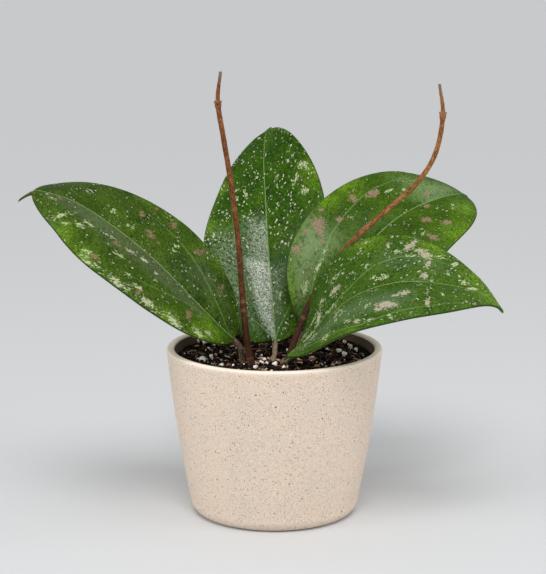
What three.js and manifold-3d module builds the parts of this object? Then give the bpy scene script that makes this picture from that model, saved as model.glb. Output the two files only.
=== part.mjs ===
// A hoya in a round stoneware pot: two rooted cuttings, each with a bare vine and a pair of thick leaves.
// Millimetres, +Z up. The origin is the centre of the pot's underside, and the front of the pot faces -Y.

import * as THREE from 'three';
import { mergeVertices } from 'three/addons/utils/BufferGeometryUtils.js';
import Module from 'manifold-3d';

const wasm = await Module();
wasm.setup();

const touchGap = 0.3; // left between pieces that touch

// Pot
const potHeight = 94;
const potRimRadius = 60;
const potBaseRadius = 45.6;
const potBulge = 1.35; // how far the wall bows out of a straight cone at mid height
const potFootRound = 7.5;
const potWall = 4.3;
const potFloor = 6;
const potInnerFootRound = 9;
const potSegments = 48;

// Potting mix
const mixEdgeHeight = 88.3;
const mixDish = 1.2; // how far the surface sinks towards the middle
const mixLump = 0.45;
const mixSegments = 36;
const mixRings = [50, 44, 38, 31, 24, 17, 10, 4];
const chipSeed = 41;
const perliteSize = [0.9, 1.5]; // smallest and largest radius
const barkSize = [2.0, 3.6]; // shortest and longest half length
const perliteCount = 16;
const barkCount = 16;
const wallClearance = 3.2; // from a chip's centre to the mix's edge
const stemClearance = 4.5; // from a seeded chip's centre to a stem
// Chips that lie in plain sight, as [x, y] on the surface
const perlitePlaces = [
  [-40, 31], [-38, 27], [-46, 11], [-46, -5], [-40, -14], [-34, -20], [-29, -20], [-31, 8], [-7, 8],
  [1, -14], [6, -25], [36, 10], [39, 5], [46, 11], [43, 23], [-37, 15], [31, -10],
];
const barkPlaces = [[-26, -3], [-4, -19], [1, -2], [20, -9], [26, -13], [40, 30], [13, -19], [-21, 25]];

// Leaves. Each midrib is a curve through six points, from the stalk to the tip.
const leafRows = 20;
const leafColumns = [-1, -0.72, -0.42, -0.13, 0, 0.13, 0.42, 0.72, 1];
const neckHalfWidth = 1.7;
const neckReach = 0.12; // share of the midrib over which the neck dies out
const neckThickness = 2.8;
const tipHalfWidth = 1.5;
const endHalfWidth = 0.5;
const edgeThickness = 1.0;
const midThickness = 1.7;
const ribDepth = 1.1; // how far the midrib stands out below the blade, at the stalk
const grooveDepth = 0.25; // how far the midrib lies below the upper face
const lobeReach = 0.3; // share of the midrib over which a lobe dies out
const lobeHalfWidth = 18; // half width of the blade from which a lobe is full
// In pairs the left half comes first. The blade ends at `end`, and the drip tip hooks down from `hookStart`.
// The folds are for the left and right half at the base, then for both at the middle and at the tip.
// A lobe is how far back past the blade's base its edge reaches.
const leaves = {
  leaf_left: {
    midrib: [[-23, -15, 101], [-42, -20, 122], [-61, -27, 144], [-82, -33, 164], [-107, -35, 181], [-134, -35, 189]],
    face: [-89, 59], twist: [8, 5], halfWidth: 33.5, skew: 0.01, baseRound: [0.52, 0.6], tipRound: 0.55,
    fold: [39, 39, 10, -11], foldSkew: -1, cup: [-10, -8], lobe: [0, 0], neck: 0,
    end: 0.955, hookStart: 0.925, hook: 9,
  },
  leaf_centre: {
    midrib: [[0, 1, 96], [-2, 20, 121], [-4, 40, 145], [-5, 61, 167], [-6, 83, 188], [-4, 107, 205]],
    face: [-96, 50], twist: [-38, 8], halfWidth: 36, skew: 0.02, baseRound: [0.38, 0.6], tipRound: 0.59,
    fold: [8, 31, 7, 15], foldSkew: -2, cup: [-9, -3], lobe: [9, 2], neck: 0,
    end: 0.955, hookStart: 0.925, hook: 4,
  },
  leaf_right_back: {
    midrib: [[16, 6, 101], [30, 14, 124], [49, 21, 144], [71, 30, 162], [94, 43, 170], [113, 63, 170]],
    face: [-74, 43], twist: [-21, 10], halfWidth: 38, skew: 0.01, baseRound: [0.61, 0.61], tipRound: 0.55,
    fold: [33, 33, 6, 11], foldSkew: -2, cup: [-9, -4], lobe: [0, 0], neck: 0,
    end: 0.955, hookStart: 0.925, hook: 3,
  },
  leaf_right_front: {
    midrib: [[6, -18, 90], [19, -27, 104], [40, -38, 128], [66, -45, 139], [96, -46, 137], [124, -42, 128]],
    face: [-93, 74], twist: [7, -23], halfWidth: 34, skew: 0.01, baseRound: [0.67, 0.75], tipRound: 0.9,
    fold: [19, 19, 17, 11], foldSkew: 6, cup: [-1, -13], lobe: [-11, 0], neck: 0.06,
    end: 0.985, hookStart: 0.88, hook: 6,
  },
};

// Stems. A vine runs from its buried cut end to its dry tip. Places on it count its points from 0.
const vineSides = 8;
const vineSteps = 3; // between two points of a vine
const stalkSides = 8;
const stalkSteps = 3;
const rootSides = 5;
const budLength = 3;
const budRadius = 1.05;
const stalkEndFlare = 0.35;
const rootRadius = 0.9;
const rootTipRadius = 0.4;
const rootSteps = 4;
const rootDrops = [12, 20, 8]; // taken in turn
const rootSag = 0.35; // share of its drop that a root has taken half way out
const rootStray = 8; // degrees
const rootSeed = 7;
const stems = {
  stem_left: {
    vine: [
      [-9.5, -13, 58], [-11, -15, 72], [-12.5, -18, 87], [-15, -17, 99.5], [-17.5, -16, 126.5],
      [-20, -14.5, 158.5], [-23.5, -13.5, 187.5], [-27.5, -12, 212], [-30.5, -10.5, 231.5], [-29, -9, 247.5],
    ],
    radii: [[0, 2.4], [2, 2.2], [3.6, 1.75], [4.2, 1.55], [7.6, 1.4], [8.1, 1.15], [9, 0.85]],
    swellings: [[3.8, 0.25, 0.1], [7.9, 0.65, 0.09]], // [place, extra radius, reach in points]
    buds: [[3.8, 180], [7.9, 185], [7.9, 5]], // [place, heading in degrees]
    stalks: [
      { leaf: 'leaf_left', radius: 1.55, points: [[-11.4, -15.6, 75], [-17.4, -11.6, 87]] },
      { leaf: 'leaf_centre', radius: 1.35, points: [[-11.2, -15.4, 73], [-1.2, -5.2, 86.5]] },
    ],
    rootsFrom: [-9.8, -13.4, 61],
    rootHeadings: [112, 146, 180, 214, 248],
    rootReach: 22,
  },
  stem_right: {
    vine: [
      [6.5, -9.5, 57], [6.6, -9.6, 72], [7.5, -9, 87], [14.3, -3, 106.5], [23.5, 1.5, 126], [35.2, 5, 143.5],
      [47.5, 6.5, 156.5], [63, 8, 170], [78.5, 9.5, 184], [88.5, 11, 200], [92.5, 12, 221], [90.5, 13, 238.5],
    ],
    radii: [[0, 2.2], [2, 1.95], [3, 1.75], [5, 1.45], [9.6, 1.35], [10.3, 1.05], [11, 0.75]],
    swellings: [[6.15, 0.25, 0.16], [10, 0.75, 0.1]],
    buds: [[10, 180], [10, 0]],
    stalks: [
      { leaf: 'leaf_right_back', radius: 1.45, points: [[6.8, -9.4, 79], [9.6, -4.6, 89]] },
      { leaf: 'leaf_right_front', radius: 1.5, points: [[6.8, -9.4, 77], [7.6, -14.5, 85.5]] },
    ],
    rootsFrom: [6.6, -9.6, 61],
    rootHeadings: [68, 34, 0, -34, -68],
    rootReach: 26,
  },
};

// Colours
const glazeColour = 0xe1d0be;
const mixColour = 0x2a1d16;
const vineColour = 0x8a4f32;
const leafColours = { leaf_left: 0x3f6a2a, leaf_centre: 0x2f6a24, leaf_right_back: 0x4a7a30, leaf_right_front: 0x46702e };

function seededRandom(seed) {
  let state = seed;
  return () => {
    state = (state * 16807) % 2147483647;
    return state / 2147483647;
  };
}

function between(pair, share) {
  return pair[0] + (pair[1] - pair[0]) * share;
}

function curveThrough(points) {
  return new THREE.CatmullRomCurve3(points.map((p) => new THREE.Vector3(...p)), false, 'catmullrom', 0.5);
}

// Value at a place in a list of [place, value] pairs, straight between them.
function follow(pairs, place) {
  const next = pairs.findIndex((pair) => pair[0] >= place);
  if (next <= 0) return pairs[next === 0 ? 0 : pairs.length - 1][1];
  const [from, to] = [pairs[next - 1], pairs[next]];
  return from[1] + ((to[1] - from[1]) * (place - from[0])) / (to[0] - from[0]);
}

function toSolid(geometry) {
  const bare = geometry.index ? geometry.clone() : geometry;
  bare.deleteAttribute('normal');
  bare.deleteAttribute('uv');
  const merged = mergeVertices(bare, 1e-4);
  const mesh = new wasm.Mesh({
    numProp: 3,
    vertProperties: new Float32Array(merged.attributes.position.array),
    triVerts: new Uint32Array(merged.index.array),
  });
  return new wasm.Manifold(mesh);
}

function toGeometry(solid) {
  const mesh = solid.getMesh();
  const geometry = new THREE.BufferGeometry();
  geometry.setAttribute('position', new THREE.BufferAttribute(new Float32Array(mesh.vertProperties), 3));
  geometry.setIndex(new THREE.BufferAttribute(new Uint32Array(mesh.triVerts), 1));
  return geometry;
}

function geometryOf(points, faces) {
  const geometry = new THREE.BufferGeometry();
  geometry.setAttribute('position', new THREE.Float32BufferAttribute(points.flatMap((p) => [p.x, p.y, p.z]), 3));
  geometry.setIndex(faces);
  return geometry;
}

// Rings of points, each with the same count, skinned into one closed body with a fan at both ends.
function skinRings(rings) {
  const count = rings[0].length;
  const points = rings.flat();
  const faces = [];
  for (let ring = 0; ring + 1 < rings.length; ring += 1) {
    for (let side = 0; side < count; side += 1) {
      const a = ring * count + side;
      const b = ring * count + ((side + 1) % count);
      faces.push(a, b, b + count, a, b + count, a + count);
    }
  }
  const ends = [rings[0], rings[rings.length - 1]];
  ends.forEach((ring, end) => {
    const centre = new THREE.Vector3();
    ring.forEach((p) => centre.addScaledVector(p, 1 / count));
    points.push(centre);
    const hub = points.length - 1;
    const first = end === 0 ? 0 : (rings.length - 1) * count;
    for (let side = 0; side < count; side += 1) {
      const a = first + side;
      const b = first + ((side + 1) % count);
      faces.push(...(end === 0 ? [hub, b, a] : [hub, a, b]));
    }
  });
  return geometryOf(points, faces);
}

// Round bar along a curve, with a radius for each place on it. It runs past the curve's ends by the overrun.
function roundBar(curve, stops, radiusAt, sides, overrun) {
  const frameX = new THREE.Vector3(1, 0, 0);
  const rings = stops.map((stop, i) => {
    const along = curve.getTangent(stop);
    const past = { 0: -overrun, [stops.length - 1]: overrun }[i] ?? 0;
    const centre = curve.getPoint(stop).addScaledVector(along, past);
    const across = frameX.clone().addScaledVector(along, -frameX.dot(along)).normalize();
    const up = new THREE.Vector3().crossVectors(along, across);
    frameX.copy(across);
    const radius = radiusAt(stop);
    return Array.from({ length: sides }, (_, side) => {
      const angle = (side / sides) * 2 * Math.PI;
      return centre.clone()
        .addScaledVector(across, radius * Math.cos(angle))
        .addScaledVector(up, radius * Math.sin(angle));
    });
  });
  return skinRings(rings);
}

function evenStops(count) {
  return Array.from({ length: count + 1 }, (_, i) => i / count);
}

// Radius of the pot's outer wall at a height.
function potRadiusAt(z) {
  const share = z / potHeight;
  return potBaseRadius + (potRimRadius - potBaseRadius) * share + 4 * potBulge * share * (1 - share);
}

function arcPoints(centreX, centreY, radius, from, to, steps) {
  return evenStops(steps).map((share) => {
    const angle = THREE.MathUtils.degToRad(from + (to - from) * share);
    return new THREE.Vector2(centreX + radius * Math.cos(angle), centreY + radius * Math.sin(angle));
  });
}

function potCavityRadiusAt(z) {
  return potRadiusAt(z) - potWall;
}

function makePot() {
  const rimRound = potWall / 2;
  const wallHeights = [22, 40, 58, 76];
  const innerFoot = potCavityRadiusAt(potFloor + potInnerFootRound);
  const profile = [
    new THREE.Vector2(0, 0),
    ...arcPoints(potRadiusAt(potFootRound) - potFootRound, potFootRound, potFootRound, -90, -4, 4),
    ...wallHeights.map((z) => new THREE.Vector2(potRadiusAt(z), z)),
    ...arcPoints(potRimRadius - rimRound, potHeight - rimRound, rimRound, 0, 180, 6),
    ...[70, 42].map((z) => new THREE.Vector2(potCavityRadiusAt(z), z)),
    ...arcPoints(innerFoot - potInnerFootRound, potFloor + potInnerFootRound, potInnerFootRound, 0, -90, 3),
    new THREE.Vector2(0, potFloor),
  ];
  const lathe = new THREE.LatheGeometry(profile, potSegments);
  lathe.rotateX(Math.PI / 2);
  return toSolid(lathe);
}

// Height of the mix's lumpy surface.
function mixHeightAt(x, y) {
  const edge = potCavityRadiusAt(mixEdgeHeight) - touchGap;
  const dish = mixDish * (1 - (x * x + y * y) / (edge * edge));
  const lumps = Math.sin(x / 4.1 + 1) * Math.cos(y / 3.7) + 0.6 * Math.sin((x + y) / 2.3);
  return mixEdgeHeight - dish + mixLump * lumps;
}

function ringOf(radius, heightAt) {
  return Array.from({ length: mixSegments }, (_, i) => {
    const angle = (i / mixSegments) * 2 * Math.PI;
    const [x, y] = [radius * Math.cos(angle), radius * Math.sin(angle)];
    return new THREE.Vector3(x, y, heightAt(x, y));
  });
}

function makeMixBody() {
  const edge = potCavityRadiusAt(mixEdgeHeight) - touchGap;
  const bottom = potFloor + touchGap;
  const round = potInnerFootRound;
  const innerFoot = potCavityRadiusAt(potFloor + round) - touchGap;
  const lower = arcPoints(innerFoot - round, bottom + round, round, -90, 0, 3);
  const upper = [42, 70].map((z) => new THREE.Vector2(potCavityRadiusAt(z) - touchGap, z));
  const walls = [...lower, ...upper].map((p) => ringOf(p.x, () => p.y));
  const surface = [edge, ...mixRings].map((radius) => ringOf(radius, mixHeightAt));
  return toSolid(skinRings([...walls, ...surface]));
}

// One chip of perlite or bark, turned and sunk into the surface.
function makeChip(kind, x, y, random) {
  const angles = new THREE.Euler(random() * 0.8 - 0.4, random() * 0.8 - 0.4, random() * Math.PI * 2, 'ZYX');
  let geometry;
  let lift;
  if (kind === 'perlite') {
    const radius = between(perliteSize, random());
    geometry = new THREE.IcosahedronGeometry(radius, 0);
    geometry.scale(1.15, 0.95, 0.85);
    lift = radius * 0.25;
  } else {
    const halfLength = between(barkSize, random());
    geometry = new THREE.BoxGeometry(halfLength * 2, halfLength * 0.9, halfLength * 0.7);
    lift = 0.1;
  }
  geometry.applyMatrix4(new THREE.Matrix4().makeRotationFromEuler(angles));
  geometry.translate(x, y, mixHeightAt(x, y) + lift);
  return toSolid(geometry);
}

function makeChips(keepClear) {
  const random = seededRandom(chipSeed);
  const reach = potCavityRadiusAt(mixEdgeHeight) - touchGap - wallClearance;
  const chips = [];
  const taken = [];
  const place = (kind, x, y) => {
    chips.push(makeChip(kind, x, y, random));
    taken.push([x, y]);
  };
  perlitePlaces.forEach(([x, y]) => place('perlite', x, y));
  barkPlaces.forEach(([x, y]) => place('bark', x, y));
  const clear = (x, y) => [
    ...taken.map((p) => Math.hypot(p[0] - x, p[1] - y) > 4),
    ...keepClear.map((p) => Math.hypot(p.x - x, p.y - y) > stemClearance),
  ].every(Boolean);
  for (let made = 0; made < perliteCount + barkCount;) {
    const radius = reach * Math.sqrt(random());
    const heading = random() * 2 * Math.PI;
    const [x, y] = [radius * Math.cos(heading), radius * Math.sin(heading)];
    if (clear(x, y)) {
      place(made < perliteCount ? 'perlite' : 'bark', x, y);
      made += 1;
    }
  }
  return chips;
}

// Half width of a leaf's blade, with its neck and drip tip, at a share of the midrib.
function leafHalfWidthAt(leaf, share, side) {
  const u = (share - leaf.neck) / (leaf.end - leaf.neck);
  const [a, b] = [leaf.baseRound[side > 0 ? 0 : 1], leaf.tipRound];
  const peak = a / (a + b);
  const oval = u > 0 && u < 1 ? (u ** a * (1 - u) ** b) / (peak ** a * (1 - peak) ** b) : 0;
  const blade = leaf.halfWidth * (1 + side * leaf.skew) * oval;
  const neck = neckHalfWidth * Math.max(0, 1 - share / (neckReach + leaf.neck));
  const inTip = share > leaf.end - 0.1 ? Math.min(1, (1 - share) / (1 - leaf.end)) : 0;
  const tip = tipHalfWidth * inTip + endHalfWidth * share;
  return Math.hypot(blade, neck, tip);
}

// Point on the midrib, with the directions along it, across to the left and out of the upper face.
function leafFrameAt(leaf, share) {
  const curve = curveThrough(leaf.midrib);
  const origin = curve.getPoint(share);
  const along = curve.getTangent(share);
  const [azimuth, elevation] = leaf.face.map(THREE.MathUtils.degToRad);
  const facing = new THREE.Vector3(
    Math.cos(azimuth) * Math.cos(elevation),
    Math.sin(azimuth) * Math.cos(elevation),
    Math.sin(elevation),
  );
  const across = new THREE.Vector3().crossVectors(facing, along).normalize();
  const out = new THREE.Vector3().crossVectors(along, across);
  const turn = leaf.twist[0] * (2 * share - 1) + leaf.twist[1] * (4 * (share - 0.5) ** 2 - 0.33);
  across.applyAxisAngle(along, THREE.MathUtils.degToRad(turn));
  out.applyAxisAngle(along, THREE.MathUtils.degToRad(turn));
  const inHook = Math.max(0, (share - leaf.hookStart) / (1 - leaf.hookStart));
  origin.addScaledVector(out, -leaf.hook * inHook * inHook);
  return { origin, along, across, out };
}

// Angle by which a half of the blade is folded up, at a share of the midrib and a share of the half.
function leafFoldAt(leaf, share, column) {
  const left = column > 0;
  const [leftBase, rightBase, middle, tip] = leaf.fold;
  const base = left ? leftBase : rightBase;
  const fold = base * (1 - share) * (1 - 2 * share) + middle * 4 * share * (1 - share) + tip * share * (2 * share - 1);
  const skew = left ? leaf.foldSkew : -leaf.foldSkew;
  const cup = left ? leaf.cup[0] : leaf.cup[1];
  return THREE.MathUtils.degToRad(fold + skew + cup * Math.abs(column));
}

// How far a place of the blade lies back towards the stalk, by its half's lobe.
function leafLobeAt(leaf, share, column, halfWidth) {
  const lobe = leaf.lobe[column > 0 ? 0 : 1];
  const fade = Math.max(0, 1 - share / lobeReach) ** 2;
  return lobe * column * column * fade * Math.min(1, (halfWidth / lobeHalfWidth) ** 1.5);
}

// Points of the upper and the lower face at one place of the blade.
function leafPointsAt(leaf, share, column) {
  const { origin, along, across, out } = leafFrameAt(leaf, share);
  const side = Math.sign(column);
  const halfWidth = leafHalfWidthAt(leaf, share, side);
  const distance = halfWidth * Math.abs(column);
  const fold = leafFoldAt(leaf, share, column);
  const middle = origin.clone()
    .addScaledVector(along, -leafLobeAt(leaf, share, column, halfWidth))
    .addScaledVector(across, side * distance * Math.cos(fold))
    .addScaledVector(out, distance * Math.sin(fold));
  const lean = (fold * distance) / (distance + 4);
  const normal = out.clone().multiplyScalar(Math.cos(lean)).addScaledVector(across, -side * Math.sin(lean));
  const neck = Math.max(0, 1 - share / (neckReach + leaf.neck));
  const blade = edgeThickness + (midThickness - edgeThickness) * (1 - column * column);
  const thickness = blade + (neckThickness - midThickness) * neck * neck;
  const onRib = column === 0 ? 1 : 0;
  const rib = ribDepth * (1 - 0.7 * share) * (1 - neck) * onRib;
  const groove = grooveDepth * onRib * (1 - neck) * Math.min(1, (1 - share) * 8);
  return {
    upper: middle.clone().addScaledVector(normal, thickness / 2 - groove),
    lower: middle.clone().addScaledVector(normal, -thickness / 2 - rib),
  };
}

function makeLeaf(leaf) {
  const shares = evenStops(leafRows).map((u) => (1 - Math.cos(Math.PI * u)) / 2);
  const rings = shares.map((share) => {
    const places = leafColumns.map((column) => leafPointsAt(leaf, share, column));
    return { upper: places.map((p) => p.upper), lower: places.map((p) => p.lower) };
  });
  const width = leafColumns.length;
  const points = rings.flatMap((ring) => [...ring.upper, ...ring.lower]);
  const faces = [];
  const at = (row, column, lower) => row * 2 * width + (lower ? width : 0) + column;
  for (let row = 0; row < leafRows; row += 1) {
    for (let column = 0; column + 1 < width; column += 1) {
      const corners = [[row, column], [row, column + 1], [row + 1, column + 1], [row + 1, column]];
      const [a, b, c, d] = corners.map(([r, k]) => at(r, k, false));
      const [e, f, g, h] = corners.map(([r, k]) => at(r, k, true));
      faces.push(a, c, b, a, d, c, e, f, g, e, g, h);
    }
    const [right, left] = [0, width - 1];
    faces.push(at(row, right, false), at(row, right, true), at(row + 1, right, true));
    faces.push(at(row, right, false), at(row + 1, right, true), at(row + 1, right, false));
    faces.push(at(row, left, false), at(row + 1, left, true), at(row, left, true));
    faces.push(at(row, left, false), at(row + 1, left, false), at(row + 1, left, true));
  }
  for (let column = 0; column + 1 < width; column += 1) {
    const next = column + 1;
    const [a, b, c, d] = [at(0, column, false), at(0, next, false), at(0, next, true), at(0, column, true)];
    faces.push(a, b, c, a, c, d);
    const last = leafRows;
    const [e, f] = [at(last, column, false), at(last, next, false)];
    const [g, h] = [at(last, next, true), at(last, column, true)];
    faces.push(e, g, f, e, h, g);
  }
  return toSolid(geometryOf(points, faces));
}

// The parts of a stem, each grown by an allowance: 0 for the stem itself, more for its hole in the mix.
function stemBars(stem, allowance) {
  const bars = [];
  const last = stem.vine.length - 1;
  const vine = curveThrough(stem.vine);
  const vineRadius = (share) => {
    const place = share * last;
    const swell = stem.swellings.reduce((sum, [at, extra, reach]) => (
      sum + extra * Math.exp(-(((place - at) / reach) ** 2))), 0);
    return follow(stem.radii, place) + swell + allowance;
  };
  const nodeStops = stem.swellings.flatMap(([at, , reach]) => [-2, -1, 0, 1, 2].map((k) => (at + k * reach) / last));
  const evenly = evenStops(last * vineSteps).filter((stop) => (
    nodeStops.every((near) => Math.abs(near - stop) * last > 0.08)));
  const stops = [...evenly, ...nodeStops].sort((a, b) => a - b);
  bars.push(toSolid(roundBar(vine, stops, vineRadius, vineSides, allowance)));

  stem.stalks.forEach((stalk) => {
    const leaf = leaves[stalk.leaf];
    const base = new THREE.Vector3(...leaf.midrib[0]);
    const along = new THREE.Vector3(...leaf.midrib[1]).sub(base).normalize();
    const end = base.clone().addScaledVector(along, -touchGap);
    const before = end.clone().addScaledVector(along, -end.distanceTo(new THREE.Vector3(...stalk.points[1])) * 0.4);
    const curve = curveThrough([...stalk.points, before.toArray(), end.toArray()]);
    const radiusAt = (share) => stalk.radius + stalkEndFlare * share ** 4 + allowance;
    bars.push(toSolid(roundBar(curve, evenStops(3 * stalkSteps), radiusAt, stalkSides, 0)));
  });

  const random = seededRandom(rootSeed);
  stem.rootHeadings.forEach((heading, i) => {
    const angle = THREE.MathUtils.degToRad(heading + rootStray * (random() - 0.5));
    const start = new THREE.Vector3(...stem.rootsFrom);
    const out = new THREE.Vector3(Math.cos(angle), Math.sin(angle), 0);
    const drop = rootDrops[i % rootDrops.length];
    const middle = start.clone().addScaledVector(out, stem.rootReach / 2).setZ(start.z - rootSag * drop);
    const end = start.clone().addScaledVector(out, stem.rootReach).setZ(start.z - drop);
    const curve = curveThrough([start.toArray(), middle.toArray(), end.toArray()]);
    const radiusAt = (share) => rootRadius + (rootTipRadius - rootRadius) * share + allowance;
    bars.push(toSolid(roundBar(curve, evenStops(rootSteps), radiusAt, rootSides, allowance)));
  });
  return bars;
}

function makeBuds(stem) {
  const vine = curveThrough(stem.vine);
  const last = stem.vine.length - 1;
  return stem.buds.map(([place, heading]) => {
    const angle = THREE.MathUtils.degToRad(heading);
    const at = vine.getPoint(place / last);
    const along = vine.getTangent(place / last);
    const lean = new THREE.Vector3(Math.cos(angle), Math.sin(angle), 0).addScaledVector(along, 1.1).normalize();
    const cone = new THREE.ConeGeometry(budRadius, budLength, 6);
    cone.translate(0, budLength / 2, 0);
    cone.applyQuaternion(new THREE.Quaternion().setFromUnitVectors(new THREE.Vector3(0, 1, 0), lean));
    cone.translate(at.x, at.y, at.z);
    return toSolid(cone);
  });
}

function makeStem(stem) {
  return wasm.Manifold.union([...stemBars(stem, 0), ...makeBuds(stem)]);
}

function makeMix() {
  const holes = Object.values(stems).flatMap((stem) => stemBars(stem, touchGap));
  const keepClear = Object.values(stems).flatMap((stem) => [
    new THREE.Vector3(...stem.vine[2]),
    ...stem.stalks.flatMap((stalk) => [
      new THREE.Vector3(...stalk.points[1]),
      new THREE.Vector3(...leaves[stalk.leaf].midrib[0]),
    ]),
  ]);
  const filled = wasm.Manifold.union([makeMixBody(), ...makeChips(keepClear)]);
  return filled.subtract(wasm.Manifold.union(holes));
}

function addMesh(group, name, solid, colour, roughness) {
  const material = new THREE.MeshStandardMaterial({ color: colour, roughness, metalness: 0 });
  const mesh = new THREE.Mesh(toGeometry(solid), material);
  mesh.name = name;
  group.add(mesh);
}

const plant = new THREE.Group();
plant.name = 'potted_hoya';
addMesh(plant, 'pot', makePot(), glazeColour, 0.6);
addMesh(plant, 'potting_mix', makeMix(), mixColour, 0.95);
Object.entries(stems).forEach(([name, stem]) => addMesh(plant, name, makeStem(stem), vineColour, 0.55));
Object.entries(leaves).forEach(([name, leaf]) => addMesh(plant, name, makeLeaf(leaf), leafColours[name], 0.4));

export default plant;
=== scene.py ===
import math

import bpy
import bmesh
import numpy as np
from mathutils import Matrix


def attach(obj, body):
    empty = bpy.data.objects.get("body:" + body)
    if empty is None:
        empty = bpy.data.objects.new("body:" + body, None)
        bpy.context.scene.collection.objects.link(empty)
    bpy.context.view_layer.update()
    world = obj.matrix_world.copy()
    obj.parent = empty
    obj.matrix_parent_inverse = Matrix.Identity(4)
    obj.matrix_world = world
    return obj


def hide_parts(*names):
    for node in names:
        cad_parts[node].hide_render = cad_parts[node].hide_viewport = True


# A hoya in a speckled stoneware pot. Lengths are in millimetres until a mesh is made.
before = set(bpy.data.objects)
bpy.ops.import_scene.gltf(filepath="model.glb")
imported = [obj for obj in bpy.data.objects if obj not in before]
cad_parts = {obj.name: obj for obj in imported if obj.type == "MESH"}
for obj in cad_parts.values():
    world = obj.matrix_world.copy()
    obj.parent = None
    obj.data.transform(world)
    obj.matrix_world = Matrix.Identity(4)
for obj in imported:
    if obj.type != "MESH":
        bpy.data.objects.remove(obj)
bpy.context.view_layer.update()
toMetres = 0.001
print("frame loaded:", ", ".join(sorted(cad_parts)))


def unit(vectors):
    return vectors / np.linalg.norm(vectors, axis=-1, keepdims=True)


# a smooth curve through the points, and its direction, at shares from 0 to 1
def curveAt(points, shares):
    inner = np.array(points, float)
    padded = np.vstack([2 * inner[0] - inner[1], inner, 2 * inner[-1] - inner[-2]])
    place = np.clip(shares, 0, 1) * (len(inner) - 1)
    first = np.minimum(place.astype(int), len(inner) - 2)
    u = (place - first)[:, None]
    before, start, end, after = (padded[first + k] for k in range(4))
    bend = 2 * before - 5 * start + 4 * end - after
    turn = 3 * (start - end) + after - before
    where = start + 0.5 * u * (end - before + u * (bend + u * turn))
    along = 0.5 * (end - before + 2 * u * bend + 3 * u * u * turn)
    return where, unit(along)


def anglesRound(count):
    return np.linspace(0, 2 * math.pi, count, endpoint=False)


def levelRing(angles, radius, z):
    return np.stack([radius * np.cos(angles), radius * np.sin(angles), np.full(len(angles), z)], 1)


# rings of points, each with the same count, skinned into one closed body
def skinRings(rings, endPush=0.0):
    rows, count = rings.shape[:2]
    faces = []
    for row in range(rows - 1):
        base = row * count
        for side in range(count):
            a, b = base + side, base + (side + 1) % count
            faces.append((a, b, b + count, a + count))
    hubs = [rings[0].mean(0), rings[-1].mean(0)]
    step = rings[-1].mean(0) - rings[-2].mean(0)
    hubs[1] = hubs[1] + endPush * step / (np.linalg.norm(step) + 1e-9)
    points = np.vstack([rings.reshape(-1, 3), hubs])
    last = (rows - 1) * count
    for side in range(count):
        nextSide = (side + 1) % count
        faces.append((rows * count, nextSide, side))
        faces.append((rows * count + 1, last + side, last + nextSide))
    return points, faces


# several bodies as one: each is (points, faces, fields)
def gather(bodies):
    offset, points, faces, fields = 0, [], [], {}
    for bodyPoints, bodyFaces, bodyFields in bodies:
        points.append(bodyPoints)
        faces.extend(tuple(k + offset for k in face) for face in bodyFaces)
        for name, values in bodyFields.items():
            fields.setdefault(name, []).append(values)
        offset += len(bodyPoints)
    return np.vstack(points), faces, {name: np.vstack(parts) for name, parts in fields.items()}


def makePiece(name, points, faces, fields, material, node, smooth=True):
    mesh = bpy.data.meshes.new(name)
    mesh.from_pydata((points * toMetres).tolist(), [], faces)
    for field, values in fields.items():
        layer = mesh.attributes.new(field, "FLOAT_VECTOR", "POINT")
        layer.data.foreach_set("vector", np.asarray(values, np.float32).ravel())
    mesh.polygons.foreach_set("use_smooth", [smooth] * len(mesh.polygons))
    mesh.materials.append(material)
    mesh.update()
    piece = bpy.data.objects.new(name, mesh)
    bpy.context.scene.collection.objects.link(piece)
    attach(piece, "root")
    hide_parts(node)
    return piece


# a node's output; adding, subtracting, multiplying and dividing it makes the maths nodes
class Wire:
    def __init__(self, socket):
        self.socket = socket
        self.tree = socket.id_data

    def __add__(self, other):
        return calc("ADD", self, other)

    def __sub__(self, other):
        return calc("SUBTRACT", self, other)

    def __rsub__(self, other):
        return calc("SUBTRACT", other, self)

    def __mul__(self, other):
        return calc("MULTIPLY", self, other)

    def __truediv__(self, other):
        return calc("DIVIDE", self, other)


def newSkin(name, roughness, **sockets):
    material = bpy.data.materials.new(name)
    material.use_nodes = True
    shader = material.node_tree.nodes["Principled BSDF"]
    shader.inputs["Roughness"].default_value = roughness
    for socket, value in sockets.items():
        shader.inputs[socket.replace("_", " ")].default_value = value
    return material, shader


def feed(socket, value):
    if isinstance(value, Wire):
        value.tree.links.new(value.socket, socket)
    elif isinstance(value, tuple) and socket.type == "RGBA":
        socket.default_value = (*value, 1)
    else:
        socket.default_value = value


# the new node goes into the tree of the wires that feed it, or into the given one
def addNode(kind, inputs, output=0, tree=None, **settings):
    for value in inputs.values():
        tree = tree or getattr(value, "tree", None)
    node = tree.nodes.new("ShaderNode" + kind)
    for key, value in settings.items():
        setattr(node, key, value)
    for key, value in inputs.items():
        feed(node.inputs[key], value)
    return Wire(node.outputs[output])


def calc(operation, a, b=0.0):
    return addNode("Math", {0: a, 1: b}, operation=operation)


def vector(operation, a, b):
    return addNode("VectorMath", {0: a, "Scale" if operation == "SCALE" else 1: b}, operation=operation)


def ramp(value, low, high, start, end, step="LINEAR"):
    ranges = {"Value": value, "From Min": low, "From Max": high, "To Min": start, "To Max": end}
    return addNode("MapRange", ranges, interpolation_type=step)


# 0 below low and top above high, with a soft step between
def rise(value, low, high, top=1.0):
    return ramp(value, low, high, 0.0, top, "SMOOTHSTEP")


def fall(value, low, high, top=1.0):
    return ramp(value, low, high, top, 0.0, "SMOOTHSTEP")


def tint(share, under, over, mode="MIX"):
    return addNode("Mix", {0: share, 6: under, 7: over}, 2, data_type="RGBA", blend_type=mode)


def shaded(colour, grey):
    return tint(1.0, colour, together(grey, grey, grey), "MULTIPLY")


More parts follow.
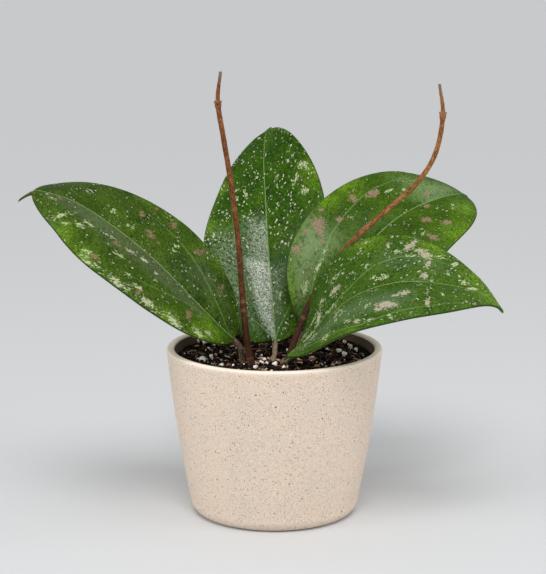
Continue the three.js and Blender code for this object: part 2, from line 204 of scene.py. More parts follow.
# output 0 is grey noise, 1 the same noise in colour
def cloud(where, scale, detail=2.0, rough=0.5, warp=0.0, output=0):
    inputs = {"Vector": where, "Scale": scale, "Detail": detail, "Roughness": rough, "Distortion": warp}
    return addNode("TexNoise", inputs, output)


# output 0 is the distance to a cell's seed, 1 the cell's random colour
def cells(where, scale, output=0):
    return addNode("TexVoronoi", {"Vector": where, "Scale": scale}, output)


def apart(place):
    node = place.tree.nodes.new("ShaderNodeSeparateXYZ")
    feed(node.inputs[0], place)
    return [Wire(output) for output in node.outputs]


def together(x, y, z):
    return addNode("CombineXYZ", {0: x, 1: y, 2: z})


def fieldOf(shader, name):
    return addNode("Attribute", {}, "Vector", shader.id_data, attribute_name=name)


def placeInMm(shader):
    return vector("SCALE", addNode("TexCoord", {}, "Object", shader.id_data), 1 / toMetres)


def bumpy(height, distance, strength=1.0, under=None):
    inputs = {"Height": height, "Distance": distance * toMetres, "Strength": strength}
    if under is not None:
        inputs["Normal"] = under
    return addNode("Bump", inputs)


def dress(shader, colour, normal, rough=None):
    feed(shader.inputs["Base Color"], colour)
    feed(shader.inputs["Normal"], normal)
    if rough is not None:
        feed(shader.inputs["Roughness"], rough)


# the pale floor, the lights round it and the camera
studio = {
    "floorColour": (0.655, 0.662, 0.672),
    "floorHalf": 9.0,
    "airColour": (0.985, 0.99, 1.0),
    "airPower": (0.49, 0.53),
    "cameraPlace": (-0.00081, -1.0792, 0.3522),
    "cameraTilt": 90 - 11.76,
    "lens": 125,
    # name: place, what it points at, size, power, colour
    "lamps": {
        "softbox_left": ((-1.15, -0.6, 0.5), (0, -0.4, 0.05), (0.6, 0.6), 2.1, (1, 0.99, 0.98)),
        "softbox_right": ((1.15, -0.6, 0.5), (0, -0.4, 0.05), (0.6, 0.6), 1.9, (1, 0.99, 0.98)),
        "softbox_high": ((0.68, 0.02, 1.2), (0, 0.03, 0.15), (0.42, 0.5), 0.3, (0.93, 0.97, 1)),
    },
    "lampSpread": 100,
    "sunFrom": (-0.01, -0.58, 0.815),
    "sunPower": 1.45,
    "sunSpread": 28,
}


def aimedAt(place, target):
    aim = [there - here for there, here in zip(target, place)]
    return math.atan2(math.hypot(aim[0], aim[1]), -aim[2]), 0, math.atan2(-aim[0], aim[1])


def addLamp(name, light, place, target):
    lamp = bpy.data.objects.new(name, light)
    lamp.location = place
    lamp.rotation_euler = aimedAt(place, target)
    bpy.context.scene.collection.objects.link(lamp)
    return lamp


def makeAir():
    world = bpy.data.worlds.new("studio_air")
    world.use_nodes = True
    background = world.node_tree.nodes["Background"]
    background.inputs[0].default_value = (*studio["airColour"], 1)
    upward = apart(addNode("TexCoord", {}, "Generated", world.node_tree))[2]
    feed(background.inputs[1], ramp(upward, 0.5, 1.0, *studio["airPower"], "SMOOTHSTEP"))
    bpy.context.scene.world = world


def makeFloor():
    material, shader = newSkin("floor_paper", 0.85, Specular_IOR_Level=0.2)
    grain = cloud(addNode("TexCoord", {}, "Object", shader.id_data), 700.0, 3.0)
    shade = studio["floorColour"]
    lighter = tuple(1.02 * part for part in shade)
    dress(shader, tint(grain, shade, lighter), bumpy(grain, 0.04, 0.3))
    half = studio["floorHalf"]
    mesh = bpy.data.meshes.new("studio_floor")
    corners = [(-half, -half, 0), (half, -half, 0), (half, half, 0), (-half, half, 0)]
    mesh.from_pydata(corners, [], [(0, 1, 2, 3)])
    mesh.materials.append(material)
    floor = bpy.data.objects.new("studio_floor", mesh)
    bpy.context.scene.collection.objects.link(floor)


def makeLights():
    for name, (place, target, size, power, colour) in studio["lamps"].items():
        light = bpy.data.lights.new(name, "AREA")
        light.shape = "RECTANGLE"
        light.size, light.size_y = size
        light.energy = power
        light.color = colour
        light.spread = math.radians(studio["lampSpread"])
        addLamp(name, light, place, target).visible_camera = False
    sunlight = bpy.data.lights.new("skylight", "SUN")
    sunlight.energy = studio["sunPower"]
    sunlight.angle = math.radians(studio["sunSpread"])
    addLamp("skylight", sunlight, studio["sunFrom"], (0, 0, 0))


def makeCamera():
    camera = bpy.data.objects.new("camera", bpy.data.cameras.new("camera"))
    camera.location = studio["cameraPlace"]
    camera.rotation_euler = (math.radians(studio["cameraTilt"]), 0, 0)
    camera.data.lens = studio["lens"]
    camera.data.sensor_width = 36
    bpy.context.scene.collection.objects.link(camera)
    bpy.context.scene.camera = camera


bpy.context.scene.view_settings.view_transform = "Standard"
makeAir()
makeFloor()
makeLights()
makeCamera()
print("studio ready")


pot = {
    "height": 94,
    "rimRadius": 60,
    "baseRadius": 45.6,
    "bulge": 1.35,
    "footRound": 7.5,
    "wall": 4.3,
    "lipSquareness": 3.6,
    # the heights between which the outer wall's rows lie
    "wallSpan": (9, 90),
    # rows counted over the lip from outside
    "lipLightRow": 12,
    "lipEndRow": 17,
    "floor": 6,
    "innerFootRound": 9,
    "sides": 168,
    "footSteps": 14,
    "wallSteps": 46,
    "lipSteps": 20,
    "innerWallSteps": 30,
    "innerFootSteps": 10,
    "clay": (0.70, 0.585, 0.485),
    "clayWarm": (0.73, 0.595, 0.475),
    "clayPale": (0.84, 0.73, 0.625),
    # the lip's colour is painted light on the rim
    "lipPaintedLight": (1.0, 0.87, 0.745),
    "fleck": (0.16, 0.085, 0.045),
    "fleckFaint": (0.36, 0.24, 0.155),
    # the inner wall: a soil stain darkened further with painted shade
    "insideStainAndShade": (0.078, 0.046, 0.020),
    # cell size, spot radius as a share of it, cells filled, shade, strength
    "fleckLayers": (
        (0.8, 0.28, 0.5, "fleckFaint", 0.7),
        (1.35, 0.19, 0.55, "fleck", 0.9),
        (3.6, 0.10, 0.4, "fleck", 1.0),
    ),
}


def potRadius(z):
    share = z / pot["height"]
    cone = pot["baseRadius"] + (pot["rimRadius"] - pot["baseRadius"]) * share
    return cone + 4 * pot["bulge"] * share * (1 - share)


def cavityRadius(z):
    return potRadius(z) - pot["wall"]


def arc(centreR, centreZ, radius, start, end, steps):
    angles = np.radians(np.linspace(start, end, steps + 1))
    return [(centreR + radius * math.cos(a), centreZ + radius * math.sin(a)) for a in angles]


# a half turn with flattened top and tighter corners than a circle's
def lipArc(centreR, centreZ, radius, steps):
    squared = 2 / pot["lipSquareness"]
    corners = []
    for angle in np.radians(np.linspace(0, 180, steps + 1)):
        out, up = math.cos(angle), max(0.0, math.sin(angle))
        out = math.copysign(abs(out) ** squared, out)
        corners.append((centreR + radius * out, centreZ + radius * up ** squared))
    return corners


def clayMaterial():
    material, shader = newSkin("stoneware", 0.62, Specular_IOR_Level=0.3)
    where = placeInMm(shader)
    inside, lip, _ = apart(fieldOf(shader, "potPlace"))
    broad = cloud(where, 0.045, 3.0)
    fine = cloud(where, 2.1, 4.0, 0.65)
    colour = tint(rise(broad, 0.35, 0.7), pot["clay"], pot["clayWarm"])
    colour = tint(rise(fine, 0.42, 0.75, 0.5), colour, pot["clayPale"])
    colour = shaded(colour, ramp(cloud(where, 1.7, 3.0, 0.75), 0.35, 0.65, 0.79, 1.15))
    # faint close flecks, then small dark ones, then a few large
    spots = []
    for spacing, radius, kept, shade, strength in pot["fleckLayers"]:
        chance, size, _ = apart(cells(where, 1 / spacing, 1))
        spot = calc("LESS_THAN", cells(where, 1 / spacing), (size + 0.4) * radius)
        spot = spot * calc("LESS_THAN", chance, kept)
        colour = tint(spot * strength, colour, pot[shade])
        spots.append(spot)
    # the lip is painted paler, painted light on the rim; the inner wall is darkened, a soil stain with
    # painted shade
    colour = tint(lip * 0.85, colour, pot["lipPaintedLight"])
    colour = tint(inside * rise(broad, 0.1, 0.4) * 0.96, colour, pot["insideStainAndShade"])
    grain = cloud(where, 2.6, 3.0, 0.7) - spots[1] * 0.5
    normal = bumpy(grain, 0.12, 0.6, bumpy(broad, 0.5, 0.25))
    dress(shader, colour, normal, ramp(fine, 0, 1, 0.55, 0.78))
    return material


def makePot():
    lip = pot["wall"] / 2
    foot = pot["footRound"]
    inside = pot["floor"] + pot["innerFootRound"]
    profile = [(r, 0) for r in (1.5, 12, 24, 33)]
    profile += arc(potRadius(foot) - foot, foot, foot, -90, -4, pot["footSteps"])
    low, high = pot["wallSpan"]
    profile += [(potRadius(z), z) for z in np.linspace(low, high, pot["wallSteps"])]
    lipStart = len(profile)
    profile += lipArc(pot["rimRadius"] - lip, pot["height"] - lip, lip, pot["lipSteps"])
    profile += [(cavityRadius(z), z) for z in np.linspace(high, inside + 1, pot["innerWallSteps"])]
    innerFoot = cavityRadius(inside) - pot["innerFootRound"]
    profile += arc(innerFoot, inside, pot["innerFootRound"], 0, -90, pot["innerFootSteps"])
    profile += [(r, pot["floor"]) for r in (24, 12, 1.5)]
    angles = anglesRound(pot["sides"])
    rings = []
    for radius, z in profile:
        # a hair's breadth of throwing unevenness, dying out at the base
        drift = 0.07 * np.sin(2 * angles + z / 21) + 0.04 * np.sin(5 * angles - z / 9)
        rings.append(levelRing(angles, radius + drift * min(1, z / 12) * (radius > 20), z))
    points, faces = skinRings(np.array(rings))
    rows = np.repeat(np.arange(len(profile)), len(angles)) - lipStart
    # the inner wall below the lip: a soil stain with painted shade
    stainedAndShaded = np.append(np.clip((rows - pot["lipEndRow"]) / 2, 0, 1), [0, 1])
    # a band of painted light over the lip
    paintedLipLight = np.append(np.clip(1.8 - np.abs(rows - pot["lipLightRow"]) / 7, 0, 1), [0, 0])
    fields = {"potPlace": np.stack([stainedAndShaded, paintedLipLight, 0 * stainedAndShaded], 1)}
    makePiece("stoneware_pot", points, faces, fields, clayMaterial(), "pot")


makePot()
print("pot made")


mix = {
    "edgeHeight": 88.3,
    "dish": 1.2,
    "lump": 0.45,
    "gap": 0.3,
    "sides": 200,
    "topRings": 70,
    "crumbs": 2600,
    "crumbSize": (0.45, 1.8),
    "perlite": [
        (-44, 34), (-40, 29), (-37, 17), (-35, -1), (-42, -8), (-40, -14), (-34, -20), (-29, -20),
        (-7, 5), (-7, -14), (-4, -16), (0, -16), (-11, -24), (5, -25), (7, -23), (23, -11), (36, 10),
        (39, 5), (46, 11), (43, 23),
    ],
    "perliteExtra": 120,
    "perliteSize": (0.4, 2.1),
    "bark": [
        (-30, 7), (-26, -2), (-26, -9), (-28, -12), (-12, -16), (-10, -16), (-7, -4), (-1, 0), (2, -6),
        (14, -14), (26, -14), (28, -16), (21, -1), (40, 30),
    ],
    "barkExtra": 170,
    "barkSize": (1.0, 3.4),
    "fibres": 260,
    "fibreLength": (3, 9),
    "fibreRadius": (0.07, 0.17),
    "peatDark": (0.0040, 0.0022, 0.0014),
    "peatBrown": (0.085, 0.034, 0.015),
    "barkPale": (0.92, 0.72, 0.53),
    "barkOrange": (0.50, 0.20, 0.075),
    "barkCrack": (0.07, 0.030, 0.014),
    "barkDark": (0.035, 0.016, 0.009),
    "perliteWhite": (1.0, 0.94, 0.83),
    "perlitePore": (0.50, 0.40, 0.28),
    "perliteStain": (0.70, 0.52, 0.36),
}
mixEdge = cavityRadius(mix["edgeHeight"]) - mix["gap"]


def mixHeight(x, y):
    dish = mix["dish"] * (1 - (x * x + y * y) / mixEdge ** 2)
    lumps = np.sin(x / 4.1 + 1) * np.cos(y / 3.7) + 0.6 * np.sin((x + y) / 2.3)
    return mix["edgeHeight"] - dish + mix["lump"] * lumps


def ballTemplate(divisions):
    ball = bmesh.new()
    bmesh.ops.create_icosphere(ball, subdivisions=divisions, radius=1)
    points = np.array([tuple(v.co) for v in ball.verts])
    faces = [tuple(v.index for v in face.verts) for face in ball.faces]
    ball.free()
    return points, faces


def turned(points, random, tilt):
    a, b, c = random.uniform(-tilt, tilt), random.uniform(-tilt, tilt), random.uniform(0, 2 * math.pi)
    spinX = np.array([[1, 0, 0], [0, math.cos(a), -math.sin(a)], [0, math.sin(a), math.cos(a)]])
    spinY = np.array([[math.cos(b), 0, math.sin(b)], [0, 1, 0], [-math.sin(b), 0, math.cos(b)]])
    spinZ = np.array([[math.cos(c), -math.sin(c), 0], [math.sin(c), math.cos(c), 0], [0, 0, 1]])
    return points @ (spinZ @ spinY @ spinX).T


# a rough lump: a ball dented along a few random directions
def makeLump(template, random, scale, dents, depth, tilt=3.1):
    points = template[0].copy()
    for _ in range(dents):
        direction = unit(random.normal(size=3))
        cut = random.uniform(0.35, 0.85)
        over = np.maximum(0, points @ direction - cut)
        points -= depth * over[:, None] * direction
    points *= 1 + 0.08 * random.standard_normal((len(points), 1))
    return turned(points * scale, random, tilt)


def scatter(random, reach):
    radius = reach * math.sqrt(random.uniform())
    heading = random.uniform(0, 2 * math.pi)
    return radius * math.cos(heading), radius * math.sin(heading)


# the first few lumps, those listed one by one, are the bright ones
def placedLumps(random, template, places, scales, dents, depth, tilt, sink, bright=0):
    bodies = []
    for k, ((x, y), scale) in enumerate(zip(places, scales)):
        points = makeLump(template, random, np.array(scale), dents, depth, tilt)
        points += (x, y, mixHeight(x, y) + sink * scale[2])
        tone = random.uniform(size=3)
        if k < bright:
            tone = tone * (0.5, 0.35, 1) + (0.5, 0, 0)
        bodies.append((points, template[1], {"bitTone": np.tile(tone, (len(points), 1))}))
    return gather(bodies)


def peatMaterial():
    material, shader = newSkin("peat", 0.6, Specular_IOR_Level=0.15)
    where = placeInMm(shader)
    tone, wet, _ = apart(fieldOf(shader, "bitTone"))
    share = calc("POWER", tone, 3.5) * rise(cloud(where, 1.1, 4.0, 0.6), 0.3, 0.7)
    colour = tint(share, mix["peatDark"], mix["peatBrown"])
    dress(shader, colour, bumpy(cloud(where, 2.4, 3.0, 0.6), 0.25, 0.7), ramp(wet, 0, 1, 0.3, 1.4))
    return material


def perliteMaterial():
    material, shader = newSkin("perlite", 0.8, Specular_IOR_Level=0.3)
    where = placeInMm(shader)
    pores = cells(where, 2.2)
    colour = tint(fall(pores, 0.05, 0.35, 0.2), mix["perliteWhite"], mix["perlitePore"])
    colour = tint(rise(cloud(where, 0.8, 3.0), 0.6, 0.8, 0.4), colour, mix["perliteStain"])
    dress(shader, colour, bumpy(pores, 0.2, 0.8))
    return material


def barkMaterial():
    material, shader = newSkin("bark_chip", 0.7, Specular_IOR_Level=0.3)
    tone, dark, _ = apart(fieldOf(shader, "bitTone"))
    layers = cloud(placeInMm(shader), 1.3, 4.0, 0.7, 0.6)
    colour = tint(tone, mix["barkOrange"], mix["barkPale"])
    colour = tint(rise(layers, 0.47, 0.62, 0.8), colour, mix["barkCrack"])
    colour = tint(rise(dark, 0.45, 0.6, 0.95), colour, mix["barkDark"])
    dress(shader, colour, bumpy(layers, 0.4, 0.8))
    return material


def makeMixBed(material):
    random = np.random.default_rng(3)
    inside = pot["floor"] + pot["innerFootRound"]
    innerFoot = cavityRadius(inside) - pot["innerFootRound"] - mix["gap"]
    profile = [(r, pot["floor"] + mix["gap"]) for r in (2, 20)]
    profile += arc(innerFoot, inside + mix["gap"], pot["innerFootRound"], -90, 0, 6)
    profile += [(cavityRadius(z) - mix["gap"], z) for z in (30, 50, 70, 84)]
    angles = anglesRound(mix["sides"])
    rings = [levelRing(angles, r, z) for r, z in profile]
    for radius in np.linspace(mixEdge, 0.6, mix["topRings"]):
        x, y = radius * np.cos(angles), radius * np.sin(angles)
        crumb = 0.22 * random.standard_normal(len(angles)) * min(1, radius / 20)
        fine = 0.35 * np.sin(x * 1.7 + 2 * np.sin(y)) * np.cos(y * 1.9 + np.sin(x * 0.8))
        rings.append(np.stack([x, y, mixHeight(x, y) - 0.5 + fine + crumb], 1))
    points, faces = skinRings(np.array(rings))
    tone = np.repeat(random.uniform(size=(len(points), 1)), 3, 1)
    makePiece("mix_bed", points, faces, {"bitTone": tone}, material, "potting_mix")


def makeMix():
    random = np.random.default_rng(41)
    peat = peatMaterial()
    makeMixBed(peat)
    smallBall, ball = ballTemplate(1), ballTemplate(2)

    low, high = mix["crumbSize"]
    places, scales = [], []
    for _ in range(mix["crumbs"]):
        size = low + (high - low) * random.uniform() ** 2.6
        places.append(scatter(random, mixEdge - size - 0.3))
        scales.append(size * random.uniform(0.65, 1.25, 3))
    crumbs = placedLumps(random, smallBall, places, scales, 4, 0.8, 3.1, 0.1)
    makePiece("mix_crumbs", *crumbs, peat, "potting_mix")

    low, high = mix["perliteSize"]
    places = mix["perlite"] + [scatter(random, mixEdge - 2.5) for _ in range(mix["perliteExtra"])]
    scales = []
    for k in range(len(places)):
        size = random.uniform(1.0, high) if k < len(mix["perlite"]) else low + random.uniform() ** 2
        scales.append(size * random.uniform(0.5, 1.35, 3))
    grains = placedLumps(random, ball, places, scales, 9, 0.9, 3.1, 0.4)
    makePiece("perlite_grains", *grains, perliteMaterial(), "potting_mix")

    low, high = mix["barkSize"]
    places = mix["bark"] + [scatter(random, mixEdge - 4) for _ in range(mix["barkExtra"])]
    scales = []
    for k in range(len(places)):
        size = random.uniform(2.2, high) if k < len(mix["bark"]) else random.uniform(low, 2.4)
        scales.append(size * np.array([1, random.uniform(0.28, 0.65), random.uniform(0.22, 0.42)]))
    chips = placedLumps(random, ball, places, scales, 9, 1.0, 0.5, 0.7, len(mix["bark"]))
    bark = barkMaterial()
    makePiece("bark_chips", *chips, bark, "potting_mix", smooth=False)
    makeFibres(random, bark)


def makeFibres(random, material):
    strands = []
    for _ in range(mix["fibres"]):
        x, y = scatter(random, mixEdge - 6)
        heading, length = random.uniform(0, 2 * math.pi), random.uniform(*mix["fibreLength"])
        path = []
        for step in (-0.5, -0.2, 0.15, 0.5):
            px = x + length * step * math.cos(heading) + random.uniform(-0.7, 0.7)
            py = y + length * step * math.sin(heading) + random.uniform(-0.7, 0.7)
            path.append((px, py, mixHeight(px, py) + random.uniform(0.1, 1.0)))
        thick = random.uniform(*mix["fibreRadius"])
        tone = np.array([[random.uniform(), random.uniform(0, 0.75), 0]])
        points, faces, _ = sweep(path, 9, lambda share: thick * (1 - 0.6 * share ** 2), 5)
        strands.append((points, faces, {"bitTone": np.repeat(tone, len(points), 0)}))
    makePiece("mix_fibres", *gather(strands), material, "potting_mix")


# a round bar along a curve; stemPlace holds a spot round the bar and the length along it
def sweep(points, rows, radiusAt, sides, endPush=0.0):
    shares = np.linspace(0, 1, rows)
    where, along = curveAt(points, shares)
    lengths = np.concatenate([[0], np.cumsum(np.linalg.norm(np.diff(where, axis=0), axis=1))])
    angles = anglesRound(sides)
    across = np.array([1.0, 0, 0])
    rings, places = [], []
    for k, share in enumerate(shares):
        across = unit(across - (across @ along[k]) * along[k])
        up = np.cross(along[k], across)
        spokes = np.outer(np.cos(angles), across) + np.outer(np.sin(angles), up)
        radius = np.broadcast_to(radiusAt(share), sides)
        rings.append(where[k] + spokes * radius[:, None])
        spot = np.stack([2 * np.cos(angles), 2 * np.sin(angles), np.full(sides, lengths[k])], 1)
        places.append(spot)
    skinned, faces = skinRings(np.array(rings), endPush)
    ends = [[0, 0, 0], [0, 0, lengths[-1]]]
    return skinned, faces, {"stemPlace": np.vstack([np.array(places).reshape(-1, 3), ends])}


makeMix()
print("potting mix filled")


stems = {
    "stem_left": {
        "vine": [
            (-9.5, -13, 58), (-11, -15, 72), (-12.5, -18, 87), (-15, -17, 99.5), (-17.5, -16, 126.5),
            (-20, -14.5, 158.5), (-23.5, -13.5, 187.5), (-27.5, -12, 212), (-30.5, -10.5, 231.5),
            (-29, -9, 247.5),
        ],
        "radii": [(0, 2.4), (2, 2.2), (3.6, 1.75), (4.2, 1.55), (7.6, 1.4), (8.1, 1.15), (9, 0.81)],
        "swellings": [(3.8, 0.25, 0.1), (7.9, 0.65, 0.09)],
        "scars": [1.4, 2.4, 3.72, 3.88, 5.5, 7.85, 8.0, 8.6],
        "buds": [(3.8, 180), (7.9, 185), (7.9, 5)],
        "stalks": [
            ("leaf_left", 1.55, [(-11.4, -15.6, 75), (-17.4, -11.6, 87)], (0.2, 0)),
            ("leaf_centre", 1.35, [(-11.2, -15.4, 73), (-1.2, -5.2, 86.5)], (0.75, 0)),
        ],
        "rootsFrom": (-9.8, -13.4, 61),
        "rootHeadings": (112, 146, 180, 214, 248),
        "rootReach": 22,
        # painted shade: below this height the bark darkens, over this fade, to this depth
        "paintedShadeBelow": (195, 90, 0.9),
        "bark": ((0.038, 0.011, 0.003), (0.33, 0.118, 0.036)),
    },
    "stem_right": {
        "vine": [
            (6.5, -9.5, 57), (6.6, -9.6, 72), (7.5, -9, 87), (14.3, -3, 106.5), (23.5, 1.5, 126),
            (35.2, 5, 143.5), (47.5, 6.5, 156.5), (63, 8, 170), (78.5, 9.5, 184), (88.5, 11, 200),
            (92.5, 12, 221), (90.5, 13, 238.5),
        ],
        "radii": [(0, 2.2), (2, 1.95), (3, 1.75), (5, 1.45), (9.6, 1.35), (10.3, 1.05), (11, 0.75)],
        "swellings": [(6.15, 0.25, 0.16), (10, 0.75, 0.1)],
        "scars": [3.2, 6.05, 6.25, 7.25, 7.4, 9.95, 10.1, 10.7],
        "buds": [(10, 180), (10, 0)],
        "stalks": [
            ("leaf_right_back", 1.45, [(6.8, -9.4, 79), (9.6, -4.6, 89)], (0.3, 0)),
            ("leaf_right_front", 1.5, [(6.8, -9.4, 77), (7.6, -14.5, 85.5)], (0.45, 1)),
        ],
        "rootsFrom": (6.6, -9.6, 61),
        "rootHeadings": (68, 34, 0, -34, -68),
        "rootReach": 26,
        "paintedShadeBelow": (162, 46, 1),
        "bark": ((0.070, 0.022, 0.005), (0.45, 0.195, 0.062)),
    },
}
wood = {
    "dark": (0.040, 0.017, 0.009),
    "scar": (0.42, 0.21, 0.11),
    "dry": (0.20, 0.15, 0.11),
    "stalkGrey": (0.13, 0.085, 0.055),
    "stalkTan": (0.42, 0.30, 0.19),
    "stalkPink": (0.30, 0.13, 0.09),
    "stalkPale": (0.55, 0.45, 0.33),
    "sides": 22,
    "step": 0.7,
    "scarHeight": 0.06,
    "budLength": 3.0,
    "budRadius": 1.05,
    "stalkRows": 46,
    "stalkSides": 20,
    "endFlare": 0.35,
    "rootRadii": (0.9, 0.4),
    "rootDrops": (12, 20, 8),
}


def vineMaterial(name, stem):
    material, shader = newSkin(name, 0.5, Specular_IOR_Level=0.14)
    place = fieldOf(shader, "stemPlace")
    scar, dry, paintedShadeBelow = apart(fieldOf(shader, "stemTone"))
    streak = cloud(vector("MULTIPLY", place, (1.0, 1.0, 0.24)), 2.3, 4.0, 0.7)
    red, orange = stem["bark"]
    colour = tint(rise(streak, 0.42, 0.62), red, orange)
    colour = tint(rise(cloud(place, 0.22), 0.5, 0.75, 0.55), colour, orange)
    # painted shade darkens the vine's lower reach
    colour = tint(paintedShadeBelow * 0.9, colour, wood["dark"])
    # small pale breathing spots, longer along the vine
    spotPlace = vector("MULTIPLY", place, (1.0, 1.0, 0.5))
    chance, _, _ = apart(cells(spotPlace, 0.75, 1))
    spot = fall(cells(spotPlace, 0.75), 0.12, 0.26) * calc("LESS_THAN", chance, 0.3)
    colour = tint(spot * 0.5, colour, wood["scar"])
    colour = tint(scar * 0.35, colour, wood["scar"])
    colour = tint(dry * 0.85, colour, wood["dry"])
    rings = cloud(together(0.0, 0.0, apart(place)[2]), 1.1, 3.0)
    dress(shader, colour, bumpy(streak + rings * 0.8, 0.22, 0.6), ramp(streak, 0, 1, 0.35, 0.65))
    return material


def stalkMaterial():
    material, shader = newSkin("stalk_skin", 0.6, Specular_IOR_Level=0.35)
    tan, pink, _ = apart(fieldOf(shader, "stemTone"))
    grain = cloud(vector("MULTIPLY", fieldOf(shader, "stemPlace"), (1, 1, 0.45)), 1.5, 4.0, 0.7)
    colour = tint(tan, wood["stalkGrey"], wood["stalkTan"])
    colour = tint(pink, colour, wood["stalkPink"])
    colour = tint(rise(grain, 0.45, 0.62, 0.85), colour, wood["dark"])
    colour = tint(fall(grain, 0.3, 0.42, 0.5), colour, wood["stalkPale"])
    dress(shader, colour, bumpy(grain, 0.4, 0.8))
    return material


def bump(place, at, reach):
    return np.exp(-((place - at) / reach) ** 2)


# pointed scale-covered buds, leaning up the vine
def makeBuds(stem):
    last = len(stem["vine"]) - 1
    size = wood["budRadius"]
    budRadius = lambda share: size * (1 - share ** 1.6) * (1 + 0.07 * math.sin(14 * share)) + 0.08
    buds = []
    for at, heading in stem["buds"]:
        angle = math.radians(heading)
        base, along = (row[0] for row in curveAt(stem["vine"], np.array([at / last])))
        lean = unit(np.array([math.cos(angle), math.sin(angle), 0]) + 1.1 * along)
        tip = base + lean * wood["budLength"]
        path = [base, base * 0.6 + tip * 0.4, base * 0.2 + tip * 0.8 - along * 0.1, tip]
        points, faces, fields = sweep(path, 16, budRadius, 14, 0.1)
        # the buds at the tip are dry
        fields["stemTone"] = np.tile((0.25, 0.7 if at > 7 else 0.2, 0), (len(points), 1))
        buds.append((points, faces, fields))
    return buds


def makeVine(name, stem):
    random = np.random.default_rng(len(name) + len(stem["vine"]))
    last = len(stem["vine"]) - 1
    radiusPlaces, radiusValues = zip(*stem["radii"])
    waves = random.uniform(0, 6.28, 6)
    angles = anglesRound(wood["sides"])

    def radiusAt(share):
        place = share * last
        radius = np.interp(place, radiusPlaces, radiusValues)
        radius += sum(extra * bump(place, at, reach) for at, extra, reach in stem["swellings"])
        radius += sum(wood["scarHeight"] * bump(place, at, 0.022) for at in stem["scars"])
        radius += 0.035 * math.sin(9 * place + waves[0]) + 0.025 * math.sin(23 * place + waves[1])
        ridges = 0.03 * np.sin(3 * angles + 1.5 * place + waves[2]) + 0.02 * np.sin(7 * angles + waves[3])
        return radius + ridges

    where, _ = curveAt(stem["vine"], np.linspace(0, 1, 400))
    length = np.linalg.norm(np.diff(where, axis=0), axis=1).sum()
    rows = int(length / wood["step"])
    points, faces, fields = sweep(stem["vine"], rows, radiusAt, wood["sides"], -0.05)
    shares = np.repeat(np.linspace(0, 1, rows), wood["sides"])
    place = np.concatenate([shares, [0, 1]]) * last
    scar = sum(bump(place, at, 0.03) for at in stem["scars"])
    dry = np.clip((place - last + 0.45) / 0.3, 0, 1)
    heights = points[:, 2]
    # painted shade: darker below a given height, and darker still down towards the soil
    below, fade, depth = stem["paintedShadeBelow"]
    paintedShadeBelow = depth * np.clip((below - heights) / fade, 0, 1)
    paintedShadeBelow = np.maximum(paintedShadeBelow, 0.6 * np.clip((97 - heights) / 8, 0, 1))
    fields["stemTone"] = np.stack([np.clip(scar, 0, 1), dry, paintedShadeBelow], 1)
    points, faces, fields = gather([(points, faces, fields), *makeBuds(stem)])
    makePiece(name.replace("stem", "vine"), points, faces, fields, vineMaterial(name + "_bark", stem), name)


def makeStalks(name, stem, material):
    random = np.random.default_rng(17)
    angles = anglesRound(wood["stalkSides"])
    thick, thin = wood["rootRadii"]
    bodies = []
    for leafName, radius, path, tone in stem["stalks"]:
        base = np.array(leaves[leafName]["midrib"][0], float)
        along = unit(np.array(leaves[leafName]["midrib"][1], float) - base)
        end = base + along * 0.6
        before = base - along * np.linalg.norm(base - path[1]) * 0.4
        waves = random.uniform(0, 6.28, 4)

        def radiusAt(share):
            rough = 0.07 * np.sin(3 * angles + 6 * share + waves[0]) + 0.05 * math.sin(31 * share + waves[1])
            collar = 0.12 * bump(share, 0.9, 0.03) - 0.45 * max(0, share - 0.97) / 0.03
            return radius + wood["endFlare"] * share ** 4 + rough + collar

        bar, faces, fields = sweep([*path, before, end], wood["stalkRows"], radiusAt, wood["stalkSides"])
        fields["stemTone"] = np.tile((*tone, 0), (len(bar), 1))
        bodies.append((bar, faces, fields))
    for k, heading in enumerate(stem["rootHeadings"]):
        angle = math.radians(heading + random.uniform(-4, 4))
        start = np.array(stem["rootsFrom"])
        out = np.array([math.cos(angle), math.sin(angle), 0])
        drop = wood["rootDrops"][k % 3]
        middle = start + out * stem["rootReach"] / 2 - (0, 0, 0.35 * drop)
        end = start + out * stem["rootReach"] - (0, 0, drop)
        rootRadius = lambda share: thick + (thin - thick) * share
        root, faces, fields = sweep([start, middle, end], 12, rootRadius, 8)
        fields["stemTone"] = np.tile((0.6, 0, 0), (len(root), 1))
        bodies.append((root, faces, fields))
    points, faces, fields = gather(bodies)
    makePiece(name.replace("stem", "stalks"), points, faces, fields, material, name)


blade = {
    "neckHalfWidth": 1.7,
    "neckReach": 0.12,
    "neckThickness": 2.8,
    "tipHalfWidth": 1.5,
    "endHalfWidth": 0.5,
    "edgeThickness": 1.0,
    "midThickness": 1.7,
    "ribDepth": 1.1,
    "grooveDepth": 0.25,
    "lobeReach": 0.3,
    "lobeHalfWidth": 18,
    "rows": 190,
    "flatColumns": 53,
    "edgeSteps": 4,
    "fleckLean": 24,
    "featherSpacing": 15.5,
    "featherSlant": 1.15,
    "featherCurl": 0.004,
    "ringSpacing": 2.3,
    # cell size, spot radius as a share of it, most cells filled, faintest spot
    "speckLayers": ((1.2, 0.31, 0.68, 0.45), (2.1, 0.23, 0.36, 0.7), (4.2, 0.15, 0.30, 0.85)),
}
